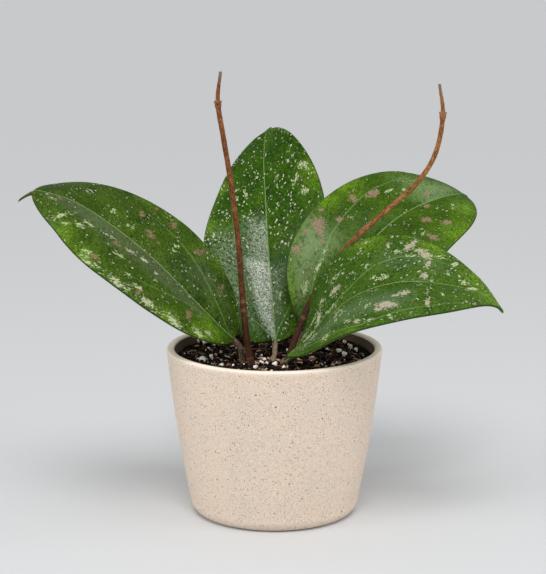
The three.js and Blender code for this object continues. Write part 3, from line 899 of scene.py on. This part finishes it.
# Marks are (share of the midrib, share of the half, half length, half width, turn): mauve stains,
# grey-cream patches, broken cream flecks and clusters of little rings. The left half's shares are positive.
# A yellow wash is (share of the midrib, share of the half, reach). A waxy bloom with a painted sheen on it
# is a band from one share of the midrib to another, and from one share of the half to another, with its soft
# edge and its strength. An inner share of the other sign ends the band hard against the midrib.
leaves = {
    "leaf_left": {
        "midrib": [
            (-23, -15, 101), (-42, -20, 122), (-61, -27, 144), (-82, -33, 164), (-107, -35, 181),
            (-134, -35, 189),
        ],
        "face": (-89, 59), "twist": (8, 5), "halfWidth": 33.5, "skew": 0.01, "baseRound": (0.52, 0.6),
        "tipRound": 0.55, "fold": (39, 39, 10, -11), "foldSkew": -1, "cup": (-10, -8), "lobe": (0, 0),
        "neck": 0, "end": 0.955, "hookStart": 0.925, "hook": 9,
        "mauve": [
            (0.56, -0.6, 3.2, 1.9, 80), (0.52, -0.9, 2.5, 1.3, 70), (0.44, -0.8, 3.2, 2.1, 80),
            (0.5, -0.34, 3.6, 2.7, -10), (0.46, -0.3, 2.4, 1, -20), (0.31, -0.76, 4.6, 1.9, 50),
            (0.6, 0.3, 2.5, 1.6, 40), (0.64, 0.78, 3.2, 1.9, 40), (0.45, 0.82, 2.4, 1.8, 90),
            (0.23, 0.58, 4.2, 2.4, 90), (0.17, -0.68, 1.9, 1.7, 80), (0.85, 0.08, 1.9, 1.4, 50),
            (1, 0, 11, 5, 0),
        ],
        "patches": [(0.54, 0.25, 3.6, 1.2, 10)],
        "flecks": [
            (0.82, 0.54, 7.8, 2, 40), (0.79, 0.64, 4, 1.6, 20), (0.74, 0.46, 4.8, 1.8, 10),
            (0.63, 0.25, 6.5, 1.3, 0), (0.48, 0.19, 3.2, 1.8, 10), (0.41, 0.41, 2.6, 1.3, 10),
            (0.51, 0.68, 3, 1.2, 0), (0.67, 0.81, 3.6, 2, 20), (0.39, 0.9, 10, 3, 0),
            (0.53, 0.92, 11, 2.8, 0), (0.64, 0.93, 9, 2.2, 0), (0.28, 0.92, 9, 2.8, 0),
            (0.16, 0.9, 7, 2.6, 0), (0.12, 0.78, 4, 2.2, 0), (0.88, 0.2, 4, 1, 0),
            (0.46, 0.76, 5, 1.8, 10), (0.57, 0.46, 4.5, 1.3, 5), (0.7, 0.3, 5.5, 1.4, 5),
        ],
        "rings": [(0.58, -0.22, 3, 2.2, 50), (0.66, -0.3, 2.6, 1.8, 60), (0.39, -0.47, 3.8, 2, 60)],
        "yellow": [(0.79, 0.95, 9), (0.68, 0.95, 8), (0.12, 0.5, 9), (0.15, 0.9, 8), (0.3, 0.95, 7)],
        "waxAndSheen": [(0.14, 0.96, -0.5, 0.5, 10, 1), (-0.05, 0.36, 0.05, -1, 18, 0.6)],
        "waxAndSheenShade": (0.082, 0.105, 0.052), "sheenGlint": 2.3, "waxAndSheenGrain": 0.6, "waxAndSheenShare": 0.55,
        "veins": {-1: [(0, 0.05), (0.11, 0.32), (0.22, 0.47), (0.32, 0.57), (0.5, 0.68)],
                  1: [(0, 0.02), (0.14, 0.13), (0.26, 0.32), (0.39, 0.54), (0.5, 0.66)]},
        "deep": (0.022, 0.054, 0.003), "mid": (0.062, 0.115, 0.009), "stain": (0.17, 0.11, 0.065),
        "density": 0.9, "speckSize": 0.92, "speckBright": 0.72, "gloss": 0.04, "sideVein": 0.34, "seed": 1,
    },
    "leaf_centre": {
        "midrib": [(0, 1, 96), (-2, 20, 121), (-4, 40, 145), (-5, 61, 167), (-6, 83, 188), (-4, 107, 205)],
        "face": (-96, 50), "twist": (-38, 8), "halfWidth": 36, "skew": 0.02, "baseRound": (0.38, 0.6),
        "tipRound": 0.59, "fold": (8, 31, 7, 15), "foldSkew": -2, "cup": (-9, -3), "lobe": (9, 2),
        "neck": 0, "end": 0.955, "hookStart": 0.925, "hook": 4,
        "mauve": [],
        "patches": [],
        "flecks": [
            (0.68, -0.26, 2.2, 1.5, -30), (0.64, -0.24, 1.7, 1.1, -20), (0.65, -0.62, 3.4, 1.4, -60),
            (0.63, -0.55, 2.6, 1.2, -60), (0.7, -0.8, 3.6, 2.7, -50), (0.59, -0.69, 3.2, 2.4, -80),
            (0.75, -0.7, 1.7, 1.5, 50), (0.58, -0.03, 2.7, 1, 0), (0.46, -0.07, 2.4, 1, 20),
            (0.18, -0.17, 4.2, 1, -10), (0.69, -0.88, 4, 2, 0), (0.45, 0.85, 4, 1.5, 0),
        ],
        "rings": [(0.56, 0.74, 5.2, 3.4, 20), (0.64, 0.45, 6.5, 4.2, 50), (0.59, -0.72, 4, 3, 0)],
        "yellow": [(0.66, -0.99, 8), (0.7, 0.97, 6), (0.5, 0.99, 6), (0.1, -0.85, 10)],
        "waxAndSheen": [
            (-0.04, 0.36, -0.5, 0.48, 10, 1), (0.08, 0.55, -0.5, 0.52, 16, 0.45),
            (-0.05, 0.52, 0.1, 1.1, 20, 0.22), (-0.03, 0.34, -0.5, -0.45, 14, 0.22),
        ],
        "waxAndSheenShade": (0.26, 0.31, 0.235), "sheenGlint": 3.6, "waxAndSheenGrain": 1, "waxAndSheenShare": 0.94,
        "veins": {-1: [(0, 0.03), (0.08, 0.29), (0.13, 0.42), (0.25, 0.6), (0.4, 0.7)],
                  1: [(0, 0.02), (0.05, 0.4), (0.1, 0.62), (0.2, 0.75), (0.35, 0.82)]},
        "deep": (0.016, 0.057, 0.002), "mid": (0.046, 0.108, 0.004), "stain": (0.25, 0.15, 0.09),
        "density": 1.2, "speckSize": 1, "speckBright": 1, "gloss": 0.07, "sideVein": 0.42, "seed": 2,
    },
    "leaf_right_back": {
        "midrib": [
            (16, 6, 101), (30, 14, 124), (49, 21, 144), (71, 30, 162), (94, 43, 170), (113, 63, 170),
        ],
        "face": (-74, 43), "twist": (-21, 10), "halfWidth": 38, "skew": 0.01, "baseRound": (0.61, 0.61),
        "tipRound": 0.55, "fold": (33, 33, 6, 11), "foldSkew": -2, "cup": (-9, -4), "lobe": (0, 0),
        "neck": 0, "end": 0.955, "hookStart": 0.925, "hook": 3,
        "mauve": [
            (0.36, 0.78, 5.4, 4.4, 60), (0.34, 0.66, 3.4, 1.9, 60), (0.32, 0.58, 2.4, 1.5, 80),
            (0.24, 0.88, 3.4, 2.6, -30), (0.43, 0.59, 2.8, 2.4, -40), (0.59, 0.58, 4.4, 3.2, 20),
            (0.52, 0.7, 3, 2.6, 80), (0.56, 0.58, 2.1, 1.8, 50), (0.76, 0.18, 2.9, 2, 40),
            (0.72, -0.08, 2.3, 1.9, 20), (0.67, -0.32, 4, 2.3, -40), (0.73, -0.58, 3.6, 2, -40),
            (0.64, -0.64, 4.8, 2.4, -60), (0.41, 0.9, 2.6, 1.2, -50), (0.31, 0.88, 2.4, 1.6, -40),
        ],
        "patches": [],
        "flecks": [
            (0.24, 0.38, 7.6, 1.4, 10), (0.46, 0.49, 2.6, 1.3, -50), (0.3, 0.42, 4, 1.3, 15),
            (0.64, 0.5, 4, 1.6, 0), (0.15, 0.5, 6, 2.5, 10),
        ],
        "rings": [(0.6, -0.45, 5, 3, 0), (0.7, 0.4, 5, 2.5, 0), (0.78, -0.3, 6, 4, 0)],
        "yellow": [(0.55, 0.97, 8), (0.45, 0.97, 7), (0.74, -0.9, 10), (0.12, 0.95, 9), (0.85, -0.6, 8)],
        "waxAndSheen": [(-0.15, 0.44, 0.02, 1.3, 28, 1), (0.64, 1.05, -0.5, 1, 20, 0.7)],
        "waxAndSheenShade": (0.215, 0.3, 0.132), "sheenGlint": 1.8, "waxAndSheenGrain": 0.4, "waxAndSheenShare": 0.82,
        "veins": {-1: [(0, 0.05), (0.15, 0.35), (0.3, 0.5), (0.5, 0.62), (0.6, 0.68)],
                  1: [(0, 0.05), (0.14, 0.3), (0.23, 0.39), (0.38, 0.52), (0.54, 0.62), (0.7, 0.7)]},
        "deep": (0.03, 0.074, 0.003), "mid": (0.057, 0.12, 0.007), "stain": (0.215, 0.145, 0.098),
        "density": 0.5, "speckSize": 0.9, "speckBright": 0.75, "gloss": 0.04, "sideVein": 0.45, "seed": 3,
    },
    "leaf_right_front": {
        "midrib": [
            (6, -18, 90), (19, -27, 104), (40, -38, 128), (66, -45, 139), (96, -46, 137), (124, -42, 128),
        ],
        "face": (-93, 74), "twist": (7, -23), "halfWidth": 34, "skew": 0.01, "baseRound": (0.67, 0.75),
        "tipRound": 0.9, "fold": (19, 19, 17, 11), "foldSkew": 6, "cup": (-1, -13), "lobe": (-11, 0),
        "neck": 0.06, "end": 0.985, "hookStart": 0.88, "hook": 6,
        "mauve": [],
        "patches": [
            (0.64, 0.77, 5.8, 2, 50), (0.69, 0.64, 4.2, 3.2, -30), (0.67, 0.7, 3, 1.6, 10),
            (0.7, 0.44, 3.5, 1.5, 80), (0.56, -0.61, 6.8, 3.4, -10), (0.53, -0.66, 3.2, 2, 20),
            (0.62, -0.38, 4, 2.2, 20), (0.59, -0.42, 2.6, 1.2, -20), (0.7, -0.69, 3.6, 1.5, 90),
            (0.69, 0.15, 2.7, 2.2, 80), (0.36, 0.38, 4.8, 2.1, 0), (0.57, 0.75, 3.4, 1, 80),
            (0.45, -0.79, 2.6, 1.8, -40),
        ],
        "flecks": [
            (0.6, 0.62, 3, 1.4, 0), (0.64, 0.54, 3.7, 1.6, 10), (0.74, 0.71, 4, 1.7, 10),
            (0.79, 0.69, 3.6, 1.7, 30), (0.83, 0.18, 2.8, 2.2, 0), (0.86, 0.06, 4.6, 1.4, 10),
            (0.75, -0.45, 2, 1.6, 80), (0.44, 0.44, 2.4, 1.3, -40), (0.49, 0.45, 2.1, 1.8, -80),
            (0.3, 0.47, 4, 2.2, -10), (0.27, 0.23, 9, 2.8, 50), (0.41, -0.69, 3.4, 1.9, -50),
            (0.32, -0.8, 3.5, 2.8, -20), (0.57, -0.86, 2.2, 1.7, -60), (0.2, 0.05, 8, 2.2, 0),
            (0.5, -0.85, 4, 1.5, 0), (0.7, -0.35, 5, 1, 90), (0.24, 0.36, 6.5, 1.8, 20),
            (0.17, 0.28, 6, 2, 10), (0.33, 0.12, 6, 1.4, 5), (0.15, -0.3, 6.5, 1.8, 0),
            (0.38, 0.62, 4.5, 1.8, 10),
        ],
        "rings": [
            (0.76, 0.3, 2.8, 1.8, 30), (0.8, 0.36, 2.6, 1.6, 40), (0.53, 0.16, 5.4, 2.3, -10),
            (0.36, -0.32, 7.8, 5.2, -70), (0.48, -0.44, 4.6, 3.2, -60), (0.25, -0.5, 6, 4, 0),
        ],
        "yellow": [
            (0.93, -0.1, 11), (0.97, 0.3, 9), (0.88, 0.7, 8), (0.05, 0, 9), (0.12, -0.9, 7),
            (0.5, 0.97, 8), (0.72, 0.95, 8),
        ],
        "waxAndSheen": [(0.15, 0.68, 0.1, -0.85, 13, 0.9), (0.5, 0.8, 0.15, 0.8, 14, 0.7)],
        "waxAndSheenShade": (0.1, 0.16, 0.075), "sheenGlint": 2, "waxAndSheenGrain": 0.5, "waxAndSheenShare": 0.55,
        "veins": {-1: [(0, 0), (0.26, 0.79), (0.46, 0.9), (0.6, 0.8), (0.74, 0.76)],
                  1: [(0, 0), (0.32, 0.11), (0.41, 0.2), (0.52, 0.42), (0.7, 0.6)]},
        "deep": (0.03, 0.078, 0.005), "mid": (0.064, 0.128, 0.014), "stain": (0.4, 0.3, 0.2),
        "density": 1, "speckSize": 0.97, "speckBright": 0.8, "gloss": 0.05, "sideVein": 0.45, "seed": 4,
    },
}
leafShades = {
    "yellow": (0.115, 0.225, 0.012),
    "fleck": (0.47, 0.52, 0.30),
    "speck": (0.62, 0.70, 0.42),
    "patch": (0.35, 0.30, 0.215),
    "patchLight": (0.47, 0.45, 0.32),
    "rib": (0.20, 0.33, 0.10),
    "vein": (0.12, 0.22, 0.06),
    # edge: painted shade for the leaf's thin rim
    "edge": (0.020, 0.045, 0.008),
    "under": (0.15, 0.235, 0.075),
    "underDeep": (0.095, 0.165, 0.045),
    "underVein": (0.22, 0.30, 0.13),
}


# half width of a half of the blade: 1 is the left half, -1 the right and 0 their mean
def halfWidthAt(leaf, share, side):
    u = np.clip((share - leaf["neck"]) / (leaf["end"] - leaf["neck"]), 0, 1)
    a = np.interp(side, (-1, 1), leaf["baseRound"][::-1])
    b = leaf["tipRound"]
    peak = a / (a + b)
    oval = u ** a * (1 - u) ** b / (peak ** a * (1 - peak) ** b)
    width = leaf["halfWidth"] * (1 + side * leaf["skew"]) * oval
    neck = blade["neckHalfWidth"] * np.maximum(0, 1 - share / (blade["neckReach"] + leaf["neck"]))
    inTip = np.where(share > leaf["end"] - 0.1, np.minimum(1, (1 - share) / (1 - leaf["end"])), 0)
    tip = blade["tipHalfWidth"] * inTip + blade["endHalfWidth"] * share
    return np.sqrt(width ** 2 + neck ** 2 + tip ** 2)


# the midrib's points with the directions forward, across to the left and out of the upper face
def leafFrame(leaf, share):
    origin, forward = curveAt(leaf["midrib"], share)
    azimuth, elevation = np.radians(leaf["face"])
    flat = math.cos(elevation)
    facing = np.array([math.cos(azimuth) * flat, math.sin(azimuth) * flat, math.sin(elevation)])
    across = unit(np.cross(facing, forward))
    out = np.cross(forward, across)
    start, bow = leaf["twist"]
    turn = np.radians(start * (2 * share - 1) + bow * (4 * (share - 0.5) ** 2 - 0.33))[:, None]
    across, out = across * np.cos(turn) + out * np.sin(turn), out * np.cos(turn) - across * np.sin(turn)
    hooked = np.maximum(0, (share - leaf["hookStart"]) / (1 - leaf["hookStart"]))
    origin = origin - out * (leaf["hook"] * hooked ** 2)[:, None]
    return origin, forward, across, out


# how strongly each point lies inside any of the marks: 0.5 at a mark's rim, 1 at its middle
def markField(leaf, kind, along, sideways, lengthAt, widthAt):
    field = np.full(along.shape, -1.0)
    for share, column, halfLength, halfWidth, turn in leaf[kind]:
        a = along - lengthAt(share)
        b = sideways - column * widthAt(share)
        c, s = math.cos(math.radians(turn)), math.sin(math.radians(turn))
        far = np.hypot((a * c + b * s) / halfLength, (b * c - a * s) / halfWidth)
        field = np.maximum(field, 1 - far)
    return np.clip(field, -1, 1) * 0.5 + 0.5


def washField(leaf, along, sideways, lengthAt, widthAt):
    field = np.zeros(along.shape)
    for share, column, reach in leaf["yellow"]:
        far = np.hypot(along - lengthAt(share), sideways - column * widthAt(share)) / reach
        field = np.maximum(field, np.exp(-far ** 2))
    return field


def waxAndSheenField(leaf, along, sideways, lengthAt, half):
    field = np.zeros(along.shape)
    for start, end, inner, outer, soft, strength in leaf["waxAndSheen"]:
        across = sideways * np.sign(outer)
        depths = (along - lengthAt(max(start, 0)) - min(start, 0) * 100, lengthAt(end) - along,
                  across - inner * half, abs(outer) * half - across)
        inside = np.clip(np.minimum.reduce(depths) / soft, 0, 1)
        field = np.maximum(field, strength * inside ** 2 * (3 - 2 * inside) * (across >= 0))
    return field


# one ring round the blade: left edge, upper face, right edge, lower face
def bladeRing():
    bends = [math.radians(bend) for bend in np.linspace(0, 90, blade["edgeSteps"] + 1)[1:]]
    steps = np.linspace(1, -1, blade["flatColumns"])
    columns = np.sign(steps) * (0.55 * np.abs(steps) + 0.45 * np.abs(steps) ** 1.6)
    upper = [(1, math.sin(bend), math.cos(bend)) for bend in reversed(bends)]
    upper += [(column, 0, 1) for column in columns]
    upper += [(-1, -math.sin(bend), math.cos(bend)) for bend in bends]
    lower = [(column, over, -height) for column, over, height in upper[-2:0:-1]]
    return np.array(upper + lower)


# how far each half is folded up from the blade's own plane
def foldAt(leaf, s, isLeft, column):
    baseLeft, baseRight, middle, tip = leaf["fold"]
    base = np.where(isLeft, baseLeft, baseRight)
    fold = base * (1 - s) * (1 - 2 * s) + middle * 4 * s * (1 - s) + tip * s * (2 * s - 1)
    skew = np.where(isLeft, leaf["foldSkew"], -leaf["foldSkew"])
    return np.radians(fold + skew + np.where(isLeft, *leaf["cup"]) * column)


def makeLeaf(name, leaf, material):
    share = (1 - np.cos(np.linspace(0, math.pi, blade["rows"]))) / 2
    origin, forward, across, out = leafFrame(leaf, share)
    lengths = np.concatenate([[0], np.cumsum(np.linalg.norm(np.diff(origin, axis=0), axis=1))])
    lengthAt = lambda s: float(np.interp(s, share, lengths))
    widthAt = lambda s: float(halfWidthAt(leaf, np.array([s]), 0)[0])

    ring = bladeRing()
    left = halfWidthAt(leaf, share, 1)[:, None]
    right = halfWidthAt(leaf, share, -1)[:, None]
    half = np.where(ring[None, :, 0] > 0, left, right)
    endRound = np.sqrt(np.clip(1 - ((share - 0.992) / 0.008).clip(0, 0.97) ** 2, 0, 1))[:, None]
    half = half * endRound
    edgeRound = np.minimum(blade["edgeThickness"] / 2, 0.45 * half)
    sideways = (half - edgeRound) * ring[None, :, 0] + edgeRound * ring[None, :, 1]
    distance = np.abs(sideways)
    column = distance / half
    isLeft = sideways > 0
    sign = np.where(isLeft, 1.0, -1.0)
    s = share[:, None]

    fold = foldAt(leaf, s, isLeft, column)
    centre = origin[:, None, :] + across[:, None, :] * (sign * distance * np.cos(fold))[..., None]
    centre = centre + out[:, None, :] * (distance * np.sin(fold))[..., None]
    # a lobe reaches back past the base of its half
    fullness = np.minimum(1, (half / blade["lobeHalfWidth"]) ** 1.5)
    fullness = fullness * np.maximum(0, 1 - s / blade["lobeReach"]) ** 2
    lobe = np.where(isLeft, *leaf["lobe"]) * column ** 2 * fullness
    centre = centre - forward[:, None, :] * lobe[..., None]
    lean = fold * distance / (distance + 4)
    normal = out[:, None, :] * np.cos(lean)[..., None]
    normal = normal - across[:, None, :] * (sign * np.sin(lean))[..., None]

    neck = np.maximum(0, 1 - s / (blade["neckReach"] + leaf["neck"]))
    thickness = blade["edgeThickness"] + (blade["midThickness"] - blade["edgeThickness"]) * (1 - column ** 2)
    thickness = (thickness + (blade["neckThickness"] - blade["midThickness"]) * neck ** 2) * endRound
    along = lengths[:, None] + 0 * sideways

    # main side veins: signed distance inwards or outwards of the line
    veinAt = {side: np.interp(share, *zip(*line)) for side, line in leaf["veins"].items()}
    veinColumn = np.where(isLeft, veinAt[1][:, None], veinAt[-1][:, None])
    veinOff = (column - veinColumn) * half * 0.85
    veinEnd = np.where(isLeft, leaf["veins"][1][-1][0], leaf["veins"][-1][-1][0])
    veinShow = np.clip((veinEnd + 0.12 - s) / 0.25, 0, 1) * np.clip(s / 0.02, 0, 1)
    # feather veins: lines that leave the midrib at a slant
    slanted = along - blade["featherSlant"] * distance - blade["featherCurl"] * distance ** 2
    feather = np.cos(slanted * 2 * math.pi / blade["featherSpacing"])
    featherLine = np.exp(-((1 - feather) / 0.05)) * (column < 0.93) * (distance > 0.5)
    rib = blade["ribDepth"] * (1 - 0.7 * s) * (1 - neck) * np.exp(-(distance / (1.9 - 0.9 * s)) ** 2)
    groove = blade["grooveDepth"] * (1 - neck) * np.minimum(1, (1 - s) * 8) * np.exp(-(distance / 0.9) ** 2)
    sink = 0.10 * veinShow * np.exp(-(veinOff / 0.9) ** 2) + 0.035 * featherLine
    pillow = 0.05 * (1 - feather) * np.clip(distance / 6, 0, 1) * np.clip((1 - column) * 5, 0, 1) - 0.05
    up = thickness / 2 - groove - sink + pillow * (thickness > 1)
    down = thickness / 2 + rib + 0.5 * sink + 0.05 * featherLine
    height = ring[None, :, 2]
    offset = np.where(height > 0, up, down) * height
    flatEdge = np.abs(height) < 1e-6
    offset = np.where(flatEdge, 0, offset)
    rings = centre + normal * offset[..., None]

    args = (along, sideways, lengthAt, widthAt)
    isUnder = np.where(height < -1e-6, 1.0, np.where(flatEdge, 0.5, 0.0)) + 0 * sideways
    edge = half - distance
    marks = np.stack([markField(leaf, kind, *args) for kind in ("mauve", "patches", "flecks")], -1)
    washes = np.stack([washField(leaf, *args), waxAndSheenField(leaf, along, sideways, lengthAt, half),
                       markField(leaf, "rings", *args)], -1)
    fields = {
        "bladePlace": np.stack([along, sideways, edge], -1),
        "bladeVein": np.stack([veinOff, veinShow, isUnder], -1),
        "bladeMarks": marks,
        "bladeWashes": washes,
    }
    ends = (0, blade["rows"] - 1)
    fields = {key: np.vstack([value.reshape(-1, 3), *(value[end].mean(0, keepdims=True) for end in ends)])
              for key, value in fields.items()}
    points, faces = skinRings(rings, 0.2)
    makePiece(name + "_blade", points, faces, fields, material, name)


# 1 where the noise passes a level that is low inside a mark and high outside it
def brokenBy(mark, noise, drop, level):
    lifted = noise + (mark - 1.0) * drop
    return rise(lifted, level, level + 0.04) * rise(mark, 0.1, 0.25)


# cream specks and their dark surround: fine ones everywhere, larger ones in drifts
def speckField(leaf, place, drift, dust):
    specks, surround = 0.0, 0.0
    for spacing, radius, most, least in blade["speckLayers"]:
        chance, size, shine = apart(cells(place, 1 / spacing, 1))
        ratio = cells(place, 1 / spacing) / ((size + 0.45) * (radius * leaf["speckSize"]))
        wanted = rise(drift, 0.36, 0.68, most * leaf["density"]) + 0.05 * leaf["density"]
        here = calc("LESS_THAN", chance, wanted)
        spot = fall(ratio, 0.75, 1.05) * here * (shine * (1 - least) + least) * rise(dust, 0.38, 0.47)
        specks = calc("MAXIMUM", specks, spot)
        surround = calc("MAXIMUM", surround, fall(ratio, 1.0, 2.0) * here)
    return specks, surround


def leafMaterial(name, leaf):
    material, shader = newSkin(name + "_skin", 0.4, Specular_IOR_Level=0.04, Coat_Weight=leaf["gloss"],
                               Coat_Roughness=0.25, Coat_IOR=1.4)
    along, sideways, edge = apart(fieldOf(shader, "bladePlace"))
    veinOff, veinShow, under = apart(fieldOf(shader, "bladeVein"))
    mauve, patch, fleck = apart(fieldOf(shader, "bladeMarks"))
    yellow, waxAndSheen, ringed = apart(fieldOf(shader, "bladeWashes"))
    distance = calc("ABSOLUTE", sideways)
    # the noise runs outwards and towards the tip, like the leaf's own flecks
    lean = math.radians(blade["fleckLean"])
    ahead = along * math.cos(lean) + distance * math.sin(lean)
    beside = distance * math.cos(lean) - along * math.sin(lean)
    shift = calc("SIGN", sideways) * 40 + leaf["seed"] * 17.0
    roundPlace = together(ahead, beside, shift)
    sway = vector("SUBTRACT", cloud(roundPlace, 0.9, 3.0, output=1), (0.5, 0.5, 0.5))
    swayed = vector("ADD", roundPlace, vector("SCALE", sway, 1.6))
    skinPlace = vector("MULTIPLY", swayed, (0.5, 1.0, 1.0))

    # greens
    broad = cloud(roundPlace, 0.07, 3.0, 0.55)
    mottle = cloud(roundPlace, 0.5, 4.0, 0.6)
    tiny = cloud(roundPlace, 1.1, 3.0, 0.7)
    dust = cloud(roundPlace, 1.35, 3.0, 0.8)
    colour = tint(rise(broad, 0.26, 0.78), leaf["deep"], leaf["mid"])
    nearEdge = fall(edge, 0.3, 5.0) * rise(broad, 0.38, 0.72)
    gold = calc("MAXIMUM", nearEdge * 0.45, yellow * 0.85) * rise(mottle, 0.25, 0.5)
    colour = tint(gold, colour, leafShades["yellow"])
    colour = shaded(colour, ramp(mottle, 0.36, 0.64, 0.84, 1.16))
    grit = ramp(tiny, 0.36, 0.64, 0.54, 1.48)
    colour = shaded(colour, grit)
    # a dusty waxy bloom with a painted sheen in it, with bright painted glints and dark grains
    waxAndSheenHaze = waxAndSheen * leaf["waxAndSheenShare"] * rise(mottle + waxAndSheen * 0.25, 0.36, 0.62)
    colour = tint(waxAndSheenHaze, colour, leaf["waxAndSheenShade"])
    bright = tuple(min(1, part * leaf["sheenGlint"]) for part in leaf["waxAndSheenShade"])
    grains = rise(dust, 0.45, 0.58, leaf["waxAndSheenGrain"]) * rise(mottle, 0.32, 0.56)
    colour = tint(waxAndSheenHaze * grains, colour, bright)
    colour = tint(waxAndSheenHaze * fall(dust, 0.37, 0.47, 0.75 * leaf["waxAndSheenGrain"]), colour, leaf["deep"])

    # veins
    slanted = along - distance * blade["featherSlant"] - distance * distance * blade["featherCurl"]
    wave = calc("COSINE", slanted * (2 * math.pi / blade["featherSpacing"]))
    featherLine = rise(wave, 0.982, 0.999) * rise(distance, 0.5, 2.0) * rise(edge, 2.0, 8.0)
    colour = tint(featherLine * 0.16, colour, leafShades["vein"])
    sideLine = fall(calc("ABSOLUTE", veinOff), 0.10, 0.55) * veinShow
    colour = tint(sideLine * leaf["sideVein"], colour, leafShades["rib"])
    ribLine = fall(distance / (0.62 - along * 0.0022), 0.35, 1.0)
    colour = tint(ribLine * 0.8, colour, leafShades["rib"])

    specks, surround = speckField(leaf, skinPlace, cloud(roundPlace, 0.13), dust)
    colour = shaded(colour, 1.0 - surround * 0.55)

    # rings: the rim of a cell's spot, inside the ringed places
    far = cells(roundPlace, 1 / blade["ringSpacing"])
    band = rise(far, 0.20, 0.27) * fall(far, 0.36, 0.44)
    rings = band * rise(ringed + mottle * 0.3, 0.62, 0.72)
    # broken flecks: a long-grained noise, cut lower where the mark is strong
    grain = cloud(together(ahead * 0.5, beside, shift), 1.15, 4.0, 0.7)
    flecks = brokenBy(fleck, grain, 0.40, 0.39)
    colour = tint(calc("MAXIMUM", rings, flecks) * 0.92, colour, leafShades["fleck"])
    speckShade = tuple(part * leaf["speckBright"] for part in leafShades["speck"])
    colour = tint(specks * 0.95, colour, speckShade)
    cream = calc("MAXIMUM", calc("MAXIMUM", specks, rings), flecks)

    # patches and mauve stains, ragged, with a little green left in them
    blot = cloud(roundPlace, 0.75, 5.0, 0.7)
    solid = brokenBy(patch, blot, 0.50, 0.29)
    patchShade = tint(rise(tiny, 0.4, 0.6), leafShades["patch"], leafShades["patchLight"])
    colour = tint(solid * 0.92, colour, patchShade)
    stain = brokenBy(mauve, blot, 0.50, 0.30)
    paleStain = tuple(part * 1.6 for part in leaf["stain"])
    colour = tint(stain * 0.9, colour, tint(rise(tiny, 0.38, 0.62), leaf["stain"], paleStain))

    # the thin dark rim, painted shade along the leaf's edge, and the paler dull underside
    colour = tint(fall(edge, 0.2, 0.8) * 0.92, colour, leafShades["edge"])
    dull = tint(rise(broad, 0.35, 0.65), leafShades["under"], leafShades["underDeep"])
    dull = tint(featherLine * 0.4, dull, leafShades["underVein"])
    dull = shaded(tint(fall(distance, 0.5, 2.2, 0.8), dull, leafShades["underVein"]), grit)
    below = rise(under, 0.55, 0.95)

    marked = calc("MAXIMUM", stain, solid)
    rough = ramp(mottle, 0.3, 0.7, 0.34, 0.48) + calc("MAXIMUM", marked, below) * 0.14
    relief = mottle + tiny * 0.4 + cream * 0.25 - marked * 0.3
    dimple = bumpy(cloud(roundPlace, 0.22), 0.5, 0.35)
    dress(shader, tint(below, colour, dull), bumpy(relief, 0.16, 0.45, dimple), rough)
    return material


stalkSkin = stalkMaterial()
for stemName, stemValues in stems.items():
    makeVine(stemName, stemValues)
    makeStalks(stemName, stemValues, stalkSkin)
print("stems grown")

for leafName, leafValues in leaves.items():
    makeLeaf(leafName, leafValues, leafMaterial(leafName, leafValues))
print("leaves unfolded")
